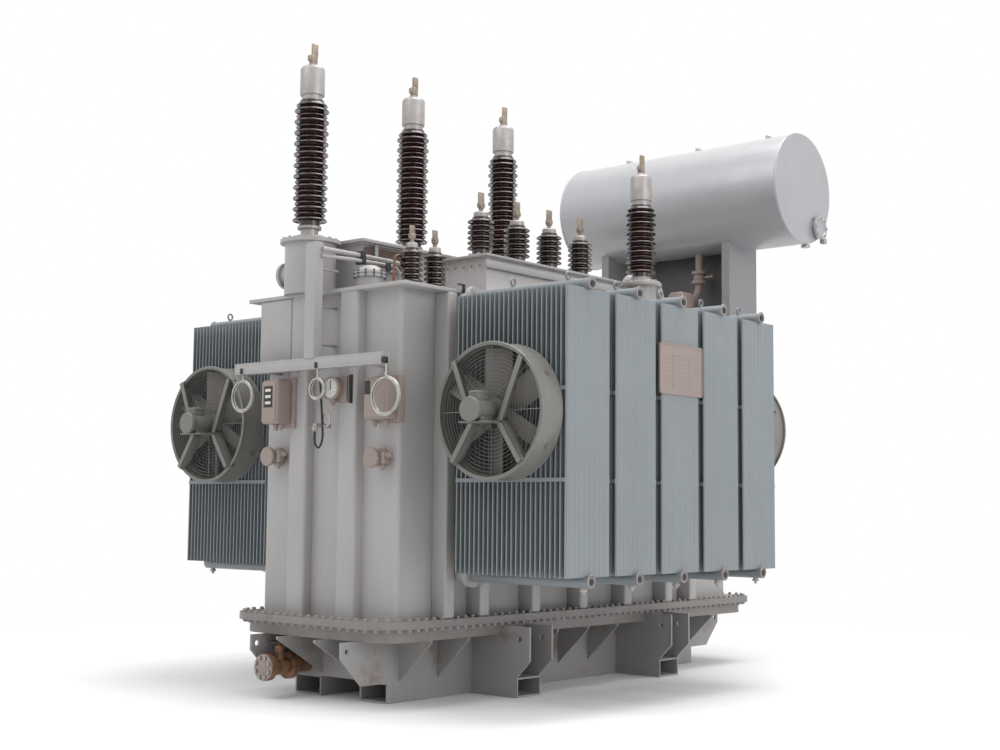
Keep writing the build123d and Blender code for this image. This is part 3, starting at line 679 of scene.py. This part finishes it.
small_bolts = []
for (x, y, z), radius, count, height in bolt_circles:
    for dx, dy in around(count, radius, math.pi / count):
        small_bolts.append(((x + dx, y + dy, height), UP, 0.6))
for dx, dy in around(16, 0.226):
    small_bolts.append(((turret_x + dx, high_voltage_y + dy, 3.651), UP, 0.7))
for dx, dy in around(10, 0.172):
    small_bolts.append(((neutral_x + dx, neutral_y + dy, 3.601), UP, 0.65))
for i in range(19):
    x = -1.44 + i * 1.69 / 18
    small_bolts.append(((x, -0.691, 3.50), RIGHT, 0.7))
    small_bolts.append(((x, -0.655, 3.582), UP, 0.7))
    small_bolts.append(((x, -0.205, 3.582), UP, 0.7))
for i in range(5):
    y = -0.61 + i * 0.09
    small_bolts.append(((-1.475, y, 3.582), UP, 0.7))
    small_bolts.append(((-1.511, y, 3.50), FRONT, 0.7))
for i in range(27):
    x = -2.24 + i * 2.5 / 26
    small_bolts.append(((x, 0.665, 3.652), UP, 0.7))
    small_bolts.append(((x, -0.005, 3.652), UP, 0.7))
for dx, dy in around(10, 0.12):
    small_bolts.append(((dome_x + dx, dome_y + dy, 3.216), UP, 0.6))
settle(copies(hexagon(0.017, 0.016), small_bolts), "cover_bolts", "cast_aluminium")


# Fans: motor on its base with four angle arms, a rolled lip and a guard of rings
rim_x, fan_y, fan_z, rim_radius = -2.538, 1.616, 2.195, 0.5
far_fan_shift = -1.68
fan_spots = (("front_right", -fan_y, False), ("front_left", fan_y, False),
             ("rear_right", -fan_y, True), ("rear_left", fan_y, True))


def hoop(radius, wire, place, turn, major=48, minor=6):
    """Round wire closed to a hoop, at its place and turned."""
    bpy.ops.mesh.primitive_torus_add(major_segments=major, minor_segments=minor, major_radius=radius,
                                     minor_radius=wire, location=place, rotation=turn)
    piece = bpy.context.object
    bpy.ops.object.transform_apply(location=True, rotation=True, scale=True)
    return piece


def ring(radius, wire, x, major=48, minor=6):
    """A wire ring that faces along X, on the fan's middle."""
    return hoop(radius, wire, (x, 0, fan_z), (0, math.pi / 2, 0), major, minor)


def guard():
    """Concentric wires on eight spokes."""
    wires = [ring(0.14 + 0.0275 * i, 0.0022, rim_x + 0.040, minor=4) for i in range(13)]
    for inner, outer in zip(around(8, 0.12, math.pi / 2), around(8, 0.492, math.pi / 2)):
        wires.append(pipe([(rim_x + 0.036, inner[0], fan_z + inner[1]),
                           (rim_x + 0.036, outer[0], fan_z + outer[1])],
                          0.0035, sides=1, order=2))
    return joined(wires)


def arm(side_y, tip_angle):
    """An arm of angle section from the motor's base corner to the rim."""
    foot = Vector((0, side_y * 0.130, -0.086))
    tip = Vector((0, 0.492 * math.cos(tip_angle), 0.492 * math.sin(tip_angle)))
    run = tip - foot
    plate = joined([slab((-0.045, -0.023, 0), (-0.038, 0.023, run.length), edge=0.0015),
                    slab((-0.045, 0.017, 0), (0.042, 0.023, run.length), edge=0.0015)])
    across = Vector((1, 0, 0))
    along = run.normalized()
    turn = Matrix((across, along.cross(across), along)).transposed().to_4x4()
    plate.data.transform(Matrix.Translation((rim_x + 0.006, foot.y, fan_z + foot.z)) @ turn)
    return plate


def fan_carrier():
    """Motor, shaft, terminal box, base, arms, lips and clamps of one fan."""
    pieces = [copies(turned([(0.060, 0), (0.086, 0.002), (0.092, 0.010), (0.092, 0.030), (0.082, 0.033),
                             (0.080, 0.036), (0.080, 0.090), (0.084, 0.092), (0.084, 0.100), (0.080, 0.102),
                             (0.080, 0.235), (0.070, 0.244), (0.030, 0.246)], 12),
                     [((rim_x - 0.222, 0, fan_z), REAR)])]
    pieces.append(copies(turned([(0.0195, 0), (0.0195, 0.150)], 16), [((rim_x + 0.010, 0, fan_z), REAR)]))
    pieces.append(slab((rim_x - 0.165, -0.045, fan_z + 0.066), (rim_x - 0.055, 0.045, fan_z + 0.135),
                       edge=0.010, segments=3))
    pieces.append(slab((rim_x - 0.170, -0.050, fan_z + 0.118), (rim_x - 0.050, 0.050, fan_z + 0.126),
                       edge=0.002))
    pieces.append(slab((rim_x - 0.175, -0.136, fan_z - 0.094), (rim_x + 0.030, 0.136, fan_z - 0.084),
                       edge=0.003))
    for y in (-0.055, 0.055):
        pieces.append(slab((rim_x - 0.150, y - 0.012, fan_z - 0.086),
                           (rim_x - 0.020, y + 0.012, fan_z - 0.050),
                           edge=0.003))
    for side_y, degrees in ((1, 49), (1, -49), (-1, 131), (-1, -131)):
        pieces.append(arm(side_y, math.radians(degrees)))
        angle = math.radians(degrees)
        pieces.append(copies(slab((-0.022, -0.020, 0), (0.022, 0.020, 0.010), edge=0.002),
                             [((rim_x + 0.012, 0.494 * math.cos(angle), fan_z + 0.494 * math.sin(angle)),
                               (0, math.cos(angle), math.sin(angle)))]))
    pieces.append(ring(rim_radius - 0.004, 0.009, rim_x + 0.004, major=64, minor=8))
    pieces.append(ring(rim_radius - 0.004, 0.007, rim_x + 0.226, major=64, minor=6))
    for degrees in (18, -32, 148, 212):
        angle = math.radians(degrees)
        pieces.append(copies(turned([(0.020, 0), (0.020, 0.006), (0.012, 0.008), (0.012, 0.020),
                                     (0.008, 0.022)], 8),
                             [((rim_x + 0.150, 0.498 * math.cos(angle), fan_z + 0.498 * math.sin(angle)),
                               (0, math.cos(angle), math.sin(angle)))]))
    return joined(pieces)


carrier_master, guard_master = fan_carrier(), guard()
for name, y, at_rear in fan_spots:
    place = Matrix.Translation((far_fan_shift if at_rear else 0, y, 0))
    if at_rear:
        place = place @ Matrix.Rotation(math.pi, 4, "Z")
    for master, kind, slot, replaced in ((carrier_master, "fan_carrier_", "fan_paint",
                                          ("fan_motor_" + name,)),
                                         (guard_master, "fan_guard_", "fan_paint", ())):
        copy = master.copy()
        copy.data = master.data.copy()
        copy.data.transform(place)
        scene.collection.objects.link(copy)
        settle(copy, kind + name, slot, smooth=35, replaced=replaced)
for master in (carrier_master, guard_master):
    bpy.data.objects.remove(master)


# Radiators: end rings of the headers with dark discs of painted shade for their holes, fluted outer plates,
# lifting eyes, drain plugs and sockets
header_x = [-2.04 + 0.6 * i for i in range(5)]
end_rings, eyes, plugs, sockets = [], [], [], []
for x in header_x:
    for side in (-1, 1):
        outward = (0, side, 0)
        for z in header_heights:
            end_rings.append(((x, side * 2.170, z), outward))
            sockets.append(((x, side * 0.750, z), outward))
        for y in (1.42, 1.95):
            eyes.append(((x, side * y, 3.168), UP))
        for y in (1.16, 2.10):
            plugs.append(((x, side * y, 0.934), DOWN))
# The ring's offset stays on its object, so that every copy lies 6 mm above its header's middle
bpy.ops.mesh.primitive_torus_add(major_segments=24, minor_segments=6, major_radius=0.042,
                                 minor_radius=0.007, location=(0, 0, 0.006))
settle(copies(joined([bpy.context.object]), end_rings), "header_rings", "instrument_enamel", smooth=60)
# dark discs inside the end rings: painted shade of the hole in each header's end
settle(copies(turned([(0.026, 0), (0.026, 0.008), (0.022, 0.010), (0.010, 0.010)], 16), end_rings),
       "header_hole_shades", "black_plastic", smooth=35)

# Outer plates with their pressed flutes
bpy.ops.mesh.primitive_grid_add(x_subdivisions=17, y_subdivisions=1, size=1, location=(0, 0, 0))
flutes = bpy.context.object
flutes.scale = (0.500, 2.080, 1)
bpy.ops.object.transform_apply(location=True, rotation=True, scale=True)
bpy.ops.object.mode_set(mode="EDIT")
bpy.ops.mesh.select_mode(type="FACE")
bpy.ops.mesh.select_all(action="DESELECT")
bpy.ops.object.mode_set(mode="OBJECT")
strips = sorted(flutes.data.polygons, key=lambda face: face.center.x)
for count, face in enumerate(strips):
    face.select = count % 2 == 1
bpy.ops.object.mode_set(mode="EDIT")
bpy.ops.mesh.inset(thickness=0.007, depth=0.004)
bpy.ops.object.mode_set(mode="OBJECT")
flute_places = []
for x in header_x:
    for side in (-1, 1):
        copy = flutes.copy()
        copy.data = flutes.data.copy()
        turn = Matrix.Rotation(math.pi / 2, 4, "X")
        if side > 0:
            turn = Matrix.Rotation(math.pi, 4, "Z") @ turn
        copy.data.transform(Matrix.Translation((x, side * 2.1405, 2.051)) @ turn)
        scene.collection.objects.link(copy)
        flute_places.append(copy)
bpy.data.objects.remove(flutes)
settle(joined(flute_places), "pressed_flutes", "radiator_paint", smooth=25)
eye = joined([hoop(0.026, 0.008, (0, 0, 0.040), (math.pi / 2, 0, 0), major=14),
              turned([(0.016, 0), (0.016, 0.008), (0.008, 0.010), (0.008, 0.018)], 8)])
settle(copies(eye, eyes), "lifting_eyes", "radiator_paint", smooth=35)
settle(copies(turned([(0.020, 0), (0.020, 0.014), (0.028, 0.015), (0.028, 0.030), (0.012, 0.032),
                      (0.012, 0.050),
                      (0.008, 0.052)], 10), plugs), "drain_plugs", "cast_aluminium", smooth=35)
settle(copies(turned([(0.046, 0), (0.046, 0.020), (0.085, 0.021), (0.085, 0.040), (0.048, 0.042),
                      (0.046, 0.075)], 20),
              sockets), "header_sockets", "tank_paint", smooth=35)


# Instruments on the end wall
def rounded_case(low, high, corner=0.022):
    """A cast case with a raised door, rounded all round."""
    case = slab(low, high, edge=corner, segments=4)
    door = slab((low[0] - 0.010, low[1] + 0.012, low[2] + 0.012),
                (low[0] + 0.02, high[1] - 0.012, high[2] - 0.012),
                edge=0.008, segments=3)
    return joined([case, door])


def gland(place, direction):
    """A threaded gland with its nut."""
    return copies(turned([(0.020, 0), (0.020, 0.012), (0.026, 0.013), (0.026, 0.028), (0.018, 0.030),
                          (0.015, 0.055), (0.010, 0.057)], 10), [(place, direction)])


cases = [rounded_case((-2.860, 0.325, 2.145), (-2.700, 0.510, 2.495)),
         slab((-2.704, 0.290, 2.115), (-2.676, 0.500, 2.520), edge=0.004),
         rounded_case((-2.765, -0.800, 2.150), (-2.640, -0.560, 2.470)),
         slab((-2.644, -0.820, 2.130), (-2.580, -0.540, 2.490), edge=0.004),
         slab((-2.700, -0.300, 2.300), (-2.676, -0.110, 2.500), edge=0.004),
         copies(turned([(0.060, 0), (0.072, 0.004), (0.072, 0.046), (0.092, 0.052), (0.094, 0.058),
                        (0.094, 0.076),
                        (0.089, 0.082), (0.080, 0.083), (0.077, 0.076), (0.010, 0.075)], 32),
                [((-2.690, dial_y, dial_z), FRONT)])]
for y in (0.36, 0.42):
    cases.append(gland((-2.780, y, 2.150), DOWN))
for y in (-0.74, -0.62):
    cases.append(gland((-2.700, y, 2.155), DOWN))
cases.append(gland((-2.735, dial_y, 2.330), DOWN))
settle(joined(cases), "instrument_cases", "instrument_enamel", smooth=35, replaced=("instrument_boxes",))

rounds = []
for y, z in ((0.586, 1.894), (-0.605, 1.866)):
    rounds.append(copies(turned([(0.060, 0), (0.075, 0.003), (0.075, 0.038), (0.058, 0.044), (0.057, 0.112),
                                 (0.074, 0.116), (0.078, 0.122), (0.078, 0.142), (0.071, 0.150),
                                 (0.02, 0.151)], 28),
                         [((-2.585, y, z), FRONT)]))
    rounds.append(slab((-2.690, y - 0.105, z - 0.045), (-2.620, y - 0.030, z + 0.045), edge=0.012,
                       segments=3))
    rounds.append(gland((-2.655, y - 0.100, z + 0.020), RIGHT))
    rounds.append(gland((-2.655, y - 0.060, z - 0.040), DOWN))
settle(joined(rounds), "round_junctions", "instrument_enamel", smooth=35, replaced=("junction_boxes",))

glasses = [slab((-2.8725, 0.365, 2.275), (-2.868, 0.470, 2.445), edge=0.002),
           slab((-2.7775, -0.640, 2.340), (-2.773, -0.580, 2.445), edge=0.002),
           slab((-2.704, -0.352, 2.290), (-2.676, -0.330, 2.510), edge=0.003)]
for y in (0.762, -0.130, -0.874):
    glasses.append(slab((-2.872, y - 0.014, 2.560), (-2.840, y + (0.026 if y < -0.85 else 0.014), 2.605),
                        edge=0.004))
    glasses.append(copies(turned([(0.012, 0), (0.015, 0.004), (0.015, 0.040), (0.011, 0.046)], 12),
                          [((-2.842, y, 2.600), DOWN)]))
settle(joined(glasses), "dark_windows", "black_plastic", smooth=35)
faces = [copies(turned([(0.076, 0), (0.075, 0.002), (0.010, 0.002)], 32),
                [((-2.7655, dial_y, dial_z), FRONT)])]
for i in range(3):
    z = 2.300 + i * 0.050
    faces.append(slab((-2.8745, 0.385, z), (-2.872, 0.450, z + 0.022), edge=0.001))
settle(joined(faces), "dial_faces", "dial_white")
needles = [slab((-2.7695, -0.196, 2.395), (-2.7675, -0.188, 2.465), edge=0.0005)]
for i in range(9):
    angle = math.radians(210 - 30 * i)
    y, z = dial_y + 0.062 * math.cos(angle), dial_z + 0.062 * math.sin(angle)
    needles.append(slab((-2.7695, y - 0.003, z - 0.003), (-2.7675, y + 0.003, z + 0.003), edge=0.0005))
settle(joined(needles), "dial_needle", "black_plastic")

# The dark cable below the middle coil, its gland and the small curl beside it, all as rigid pieces
cable_x = -2.795
cable_bends = ((-0.106, 2.473), (-0.123, 2.305), (-0.140, 2.138), (-0.150, 2.004), (-0.101, 1.932),
               (-0.047, 1.991), (-0.057, 2.074))
settle(pipe([(cable_x, y, z) for y, z in cable_bends], 0.009), "gauge_cable", "black_plastic", smooth=40)
curl = hoop(0.060, 0.009, (cable_x, -0.182, 2.168), (0.25, math.pi / 2, 0), major=40, minor=8)
cable_nut = copies(turned([(0.022, 0), (0.024, 0.004), (0.024, 0.022), (0.016, 0.028), (0.012, 0.036)], 6),
                   [((cable_x, -0.056, 2.111), DOWN)])
stem = slab((-2.800, -0.076, 2.107), (-2.640, -0.036, 2.137), edge=0.006)
settle(joined([curl, cable_nut, stem]), "cable_curl", "cast_aluminium", smooth=35)

# Brackets that hold the trunking off the wall, and its lid
lids = [slab((-2.8630, -0.848, 2.572), (-2.8590, 0.848, 2.628), edge=0.0015),
        slab((-2.868, -0.100, 2.640), (-2.859, 0.010, 3.545), edge=0.0015)]
for y in (-0.6, -0.283, 0.283, 0.6):
    lids.append(slab((-2.790, y - 0.020, 2.560), (-2.580, y + 0.020, 2.572), edge=0.002))
for z in (2.75, 3.05, 3.35):
    lids.append(slab((-2.790, -0.065, z), (-2.580, -0.025, z + 0.012), edge=0.002))
settle(joined(lids), "trunking_lid", "tank_paint", smooth=35)

# Bolted dome at the front of the cover
dome = copies(turned([(0.108, 0), (0.108, 0.096), (0.132, 0.100), (0.132, 0.114), (0.124, 0.118),
                      (0.124, 0.126),
                       (0.132, 0.129), (0.132, 0.142), (0.108, 0.147), (0.100, 0.160), (0.078, 0.184),
                       (0.040, 0.198), (0.006, 0.202)], 40), [((dome_x, dome_y, 3.197), UP)])
settle(dome, "dome_cap", "tank_paint", smooth=35, replaced=("cover_fitting",))
studs = [((dome_x + dx, dome_y + dy, 3.290), UP) for dx, dy in around(12, 0.1255)]
settle(copies(turned([(0.008, 0), (0.010, 0.002), (0.010, 0.060), (0.006, 0.064)], 6), studs), "dome_studs",
       "dark_steel_and_shade")

# Pipes over the cover
light_pipes = [pipe([(-2.80, -0.11, 3.505), (-2.62, -0.14, 3.500), (-2.10, -0.16, 3.492),
                     (-1.96, -0.17, 3.485),
                     (-1.94, -0.17, 3.35), (-1.94, -0.17, 3.195)], 0.019),
               pipe([(-2.80, -0.10, 3.450), (-2.62, -0.15, 3.452), (-2.18, -0.20, 3.448),
                     (-2.06, -0.21, 3.440),
                     (-2.04, -0.21, 3.32), (-2.04, -0.21, 3.195)], 0.015),
               pipe([(0.84, -0.40, 3.19), (0.84, -0.40, 3.56), (0.86, -0.42, 3.70), (1.05, -0.45, 3.74),
                     (1.28, -0.46, 3.70), (1.36, -0.46, 3.52), (1.36, -0.46, 3.19)], 0.052, sides=4),
               pipe([(1.36, -0.46, 3.40), (1.60, -0.44, 3.42), (1.75, -0.40, 3.34), (1.76, -0.38, 3.19)],
                    0.030),
               pipe([(0.80, -0.62, 3.45), (1.10, -0.64, 3.50), (1.30, -0.66, 3.42), (1.32, -0.66, 3.19)],
                    0.024)]
for x, z in ((0.84, 3.44), (1.36, 3.36), (1.36, 3.50)):
    y = -0.40 if x < 1 else -0.46
    light_pipes.append(copies(turned([(0.052, -0.022), (0.088, -0.021), (0.088, -0.003), (0.084, 0),
                                      (0.088, 0.003),
                                      (0.088, 0.021), (0.052, 0.022)], 24), [((x, y, z), UP)]))
settle(joined(light_pipes), "cover_pipes", "tank_paint", smooth=40)
dark_fittings = [slab((-2.440, -0.20, 3.425), (-2.410, -0.10, 3.535), edge=0.008),
                 slab((1.10, -0.53, 3.66), (1.19, -0.40, 3.80), edge=0.020, segments=3),
                 slab((1.56, -0.50, 3.40), (1.63, -0.38, 3.49), edge=0.015, segments=3),
                 slab((-2.345, -0.385, 3.36), (-2.315, -0.345, 3.43), edge=0.008),
                 slab((-2.215, -0.42, 3.41), (-2.185, -0.38, 3.46), edge=0.008)]
settle(joined(dark_fittings), "dark_valves", "black_plastic", smooth=35)
settle(pipe([(-2.30, -0.40, 3.19), (-2.30, -0.40, 3.40), (-2.295, -0.40, 3.48), (-2.245, -0.40, 3.505),
                     (-2.195, -0.40, 3.48), (-2.19, -0.40, 3.38)], 0.011),
       "brass_vent", "valve_bronze", smooth=40)

# Dark sheets of painted shade on the raised box, between light posts, under its ledge
shade_sheets = [slab((-2.262, -0.037, 3.455), (-2.168, -0.029, 3.610), edge=0.002),
          slab((-2.128, -0.037, 3.455), (-1.700, -0.029, 3.610), edge=0.002)]
settle(joined(shade_sheets), "shade_panels", "shade_brown", smooth=35)
ledges = [slab((-2.330, -0.075, 3.640), (0.350, 0.725, 3.668), edge=0.005),
          slab((-2.166, -0.050, 3.440), (-2.130, -0.028, 3.642), edge=0.003),
          slab((-2.290, -0.050, 3.430), (-1.660, -0.028, 3.452), edge=0.003),
          slab((-1.535, -0.715, 3.565), (0.345, -0.145, 3.586), edge=0.004),
          slab((-1.530, -0.706, 3.470), (0.340, -0.688, 3.530), edge=0.004)]
settle(joined(ledges), "box_ledges", "tank_paint", smooth=35)

# Conservator: lifting lugs, end rings, oil gauge, the panel between its legs with painted shade from the
# drum, and the relay's pipe
lugs = []
for y in (0.616, -0.274, -1.114):
    plate = slab((2.300, y - 0.010, 5.235), (2.420, y + 0.010, 5.300), edge=0.012, segments=3)
    lugs += [plate, slab((2.290, y - 0.030, 5.240), (2.430, y + 0.030, 5.256), edge=0.004)]
for y in (-1.482, 1.140):
    lugs.append(hoop(drum_radius, 0.007, (drum_x, y, drum_z), (math.pi / 2, 0, 0), major=96, minor=8))
settle(joined(lugs), "drum_lugs", "silver_paint", smooth=35)
gauge = [copies(turned([(0.085, 0), (0.085, 0.030), (0.118, 0.032), (0.118, 0.052), (0.112, 0.056),
                        (0.086, 0.056),
                        (0.080, 0.046), (0.01, 0.045)], 32), [((gauge_x, -1.490, gauge_z), RIGHT)]),
         copies(turned([(0.030, 0), (0.030, 0.05), (0.045, 0.052), (0.045, 0.075), (0.02, 0.077)], 16),
                [((2.500, -1.440, 4.205), DOWN)]),
         slab((2.700, -1.545, 4.190), (2.760, -1.490, 4.250), edge=0.010)]
for dx, dz in around(8, 0.102):
    gauge.append(copies(hexagon(0.010, 0.010), [((gauge_x + dx, -1.546, gauge_z + dz), RIGHT)]))
settle(joined(gauge), "oil_gauge", "silver_paint", smooth=35)
# the panel is dark with painted shade from the drum above
settle(slab((2.500, -0.712, 3.300), (2.520, 0.712, 4.200), edge=0.004), "leg_panel", "dark_steel_and_shade",
       smooth=35)
relay = [pipe([(2.320, relay_y, 4.230), (2.320, relay_y, 4.050), (2.318, relay_y, 3.800),
               (2.26, relay_y, 3.690),
               (2.10, relay_y, 3.640), (1.80, relay_y, 3.600), (1.56, relay_y, 3.570),
               (1.50, relay_y, 3.500),
               (1.50, relay_y, 3.195)], 0.042, sides=4),
         slab((1.86, -0.385, 3.520), (2.08, -0.215, 3.710), edge=0.030, segments=4)]
for z in (3.960, 3.860):
    relay.append(copies(turned([(0.042, -0.016), (0.082, -0.015), (0.082, 0.015), (0.042, 0.016)], 24),
                        [((2.320, relay_y, z), UP)]))
relay.append(copies(turned([(0.055, 0), (0.062, 0.02), (0.062, 0.07), (0.05, 0.09)], 16),
                    [((2.320, relay_y, 3.865), UP)]))
relay.append(copies(turned([(0.012, 0), (0.012, 0.10), (0.030, 0.102), (0.030, 0.112), (0.01, 0.114)], 10),
                    [((2.320, -0.36, 3.910), RIGHT)]))
for x in (1.845, 2.095):
    relay.append(copies(turned([(0.042, -0.013), (0.075, -0.012), (0.075, 0.012), (0.042, 0.013)], 20),
                        [((x, relay_y, 3.625), REAR)]))
settle(joined(relay), "relay_piping", "instrument_enamel", smooth=40, replaced=("relay_pipe",))

# A bare plate: its border and ruled lines
plate_x, plate_z, border = (-1.140, -0.540), (2.390, 2.790), 0.012
trims = []
for low_z in (plate_z[1] - border, plate_z[0]):
    trims.append(slab((plate_x[0], -2.156, low_z), (plate_x[1], -2.150, low_z + border), edge=0.001))
for low_x in (plate_x[0], plate_x[1] - border):
    trims.append(slab((low_x, -2.156, plate_z[0]), (low_x + border, -2.150, plate_z[1]), edge=0.001))
for i in range(9):
    z = 2.435 + i * 0.033
    trims.append(slab((-1.105, -2.1530, z), (-0.575, -2.1505, z + 0.004), edge=0.0005))
for x in (-0.96, -0.72):
    trims.append(slab((x, -2.1530, 2.435), (x + 0.004, -2.1505, 2.703), edge=0.0005))
settle(joined(trims), "plate_rules", "instrument_enamel")

# Drain: blind plate with its bolts
settle(copies(turned([(0.104, 0), (0.104, 0.012), (0.101, 0.016), (0.050, 0.016), (0.046, 0.020),
                      (0.010, 0.020)], 32),
              [((-2.872, drain_y, drain_z), FRONT)]), "blind_plate", "instrument_enamel", smooth=35)
drain_bolts = []
for dy, dz in around(8, 0.080, math.pi / 8):
    place = (drain_y + dy, drain_z + dz)
    drain_bolts += [((-2.888, *place), FRONT, 0.75), ((-2.820, *place), REAR, 0.75)]
settle(copies(hexagon(0.017, 0.016), drain_bolts), "drain_bolts", "cast_aluminium")

# Valve levers on the radiators' header stubs
levers = []
for x in header_x:
    for side in (-1, 1):
        for z in header_heights:
            y = side * 0.915
            levers.append(slab((x - 0.010, y - 0.010, z + 0.045), (x + 0.010, y + 0.010, z + 0.110),
                               edge=0.003))
            levers.append(slab((x - 0.070, y - 0.009, z + 0.100), (x + 0.012, y + 0.009, z + 0.113),
                               edge=0.004))
settle(joined(levers), "valve_levers", "black_plastic", smooth=35)


# The floor, and white behind the object
def lay_floor():
    """A pale floor that takes the object's shadow, under a white world."""
    bpy.ops.mesh.primitive_plane_add(size=160, location=(0, 0, -0.002))
    floor = bpy.context.object
    floor.name = "floor"
    made, tree, shader = blank_finish("floor")
    shader.inputs["Base Color"].default_value = (0.95, 0.95, 0.95, 1)
    shader.inputs["Roughness"].default_value = 0.9
    # far from the object the floor is plain white to the camera, so that no horizon shows
    spot = add_node(tree, "ShaderNodeTexCoord")
    reach = add_node(tree, "ShaderNodeVectorMath", {0: spot.outputs["Object"]}, operation="LENGTH")
    away = add_node(tree, "ShaderNodeMapRange",
                    {"Value": reach.outputs["Value"], "From Min": 3.6, "From Max": 7.5},
                    interpolation_type="SMOOTHSTEP")
    ray = add_node(tree, "ShaderNodeLightPath")
    share = add_node(tree, "ShaderNodeMath", {0: away.outputs["Result"], 1: ray.outputs["Is Camera Ray"]},
                     operation="MULTIPLY")
    white = add_node(tree, "ShaderNodeEmission", {"Color": (1, 1, 1, 1), "Strength": 1.0})
    output = tree.nodes["Material Output"]
    blend = add_node(tree, "ShaderNodeMixShader", {0: share.outputs[0], 1: shader.outputs["BSDF"],
                                                   2: white.outputs[0]})
    tree.links.new(blend.outputs[0], output.inputs["Surface"])
    floor.data.materials.append(made)


def light_the_world():
    """Soft light from the whole sky, with plain white seen by the camera and in reflections."""
    world = bpy.data.worlds.new("sky")
    scene.world = world
    world.use_nodes = True
    tree = world.node_tree
    tree.nodes.clear()
    ray = add_node(tree, "ShaderNodeLightPath")
    seen = add_node(tree, "ShaderNodeMath",
                    {0: ray.outputs["Is Camera Ray"], 1: ray.outputs["Is Glossy Ray"]},
                    operation="MAXIMUM")
    seen_through = add_node(tree, "ShaderNodeMath",
                            {0: seen.outputs[0], 1: ray.outputs["Is Transmission Ray"]},
                            operation="MAXIMUM")
    soft = add_node(tree, "ShaderNodeBackground", {"Color": (1, 1, 1, 1), "Strength": sky_strength})
    white = add_node(tree, "ShaderNodeBackground", {"Color": (1, 1, 1, 1), "Strength": 1.0})
    blend = add_node(tree, "ShaderNodeMixShader", {0: seen_through.outputs[0], 1: soft.outputs[0],
                                                   2: white.outputs[0]})
    add_node(tree, "ShaderNodeOutputWorld", {"Surface": blend.outputs[0]})


lay_floor()
light_the_world()
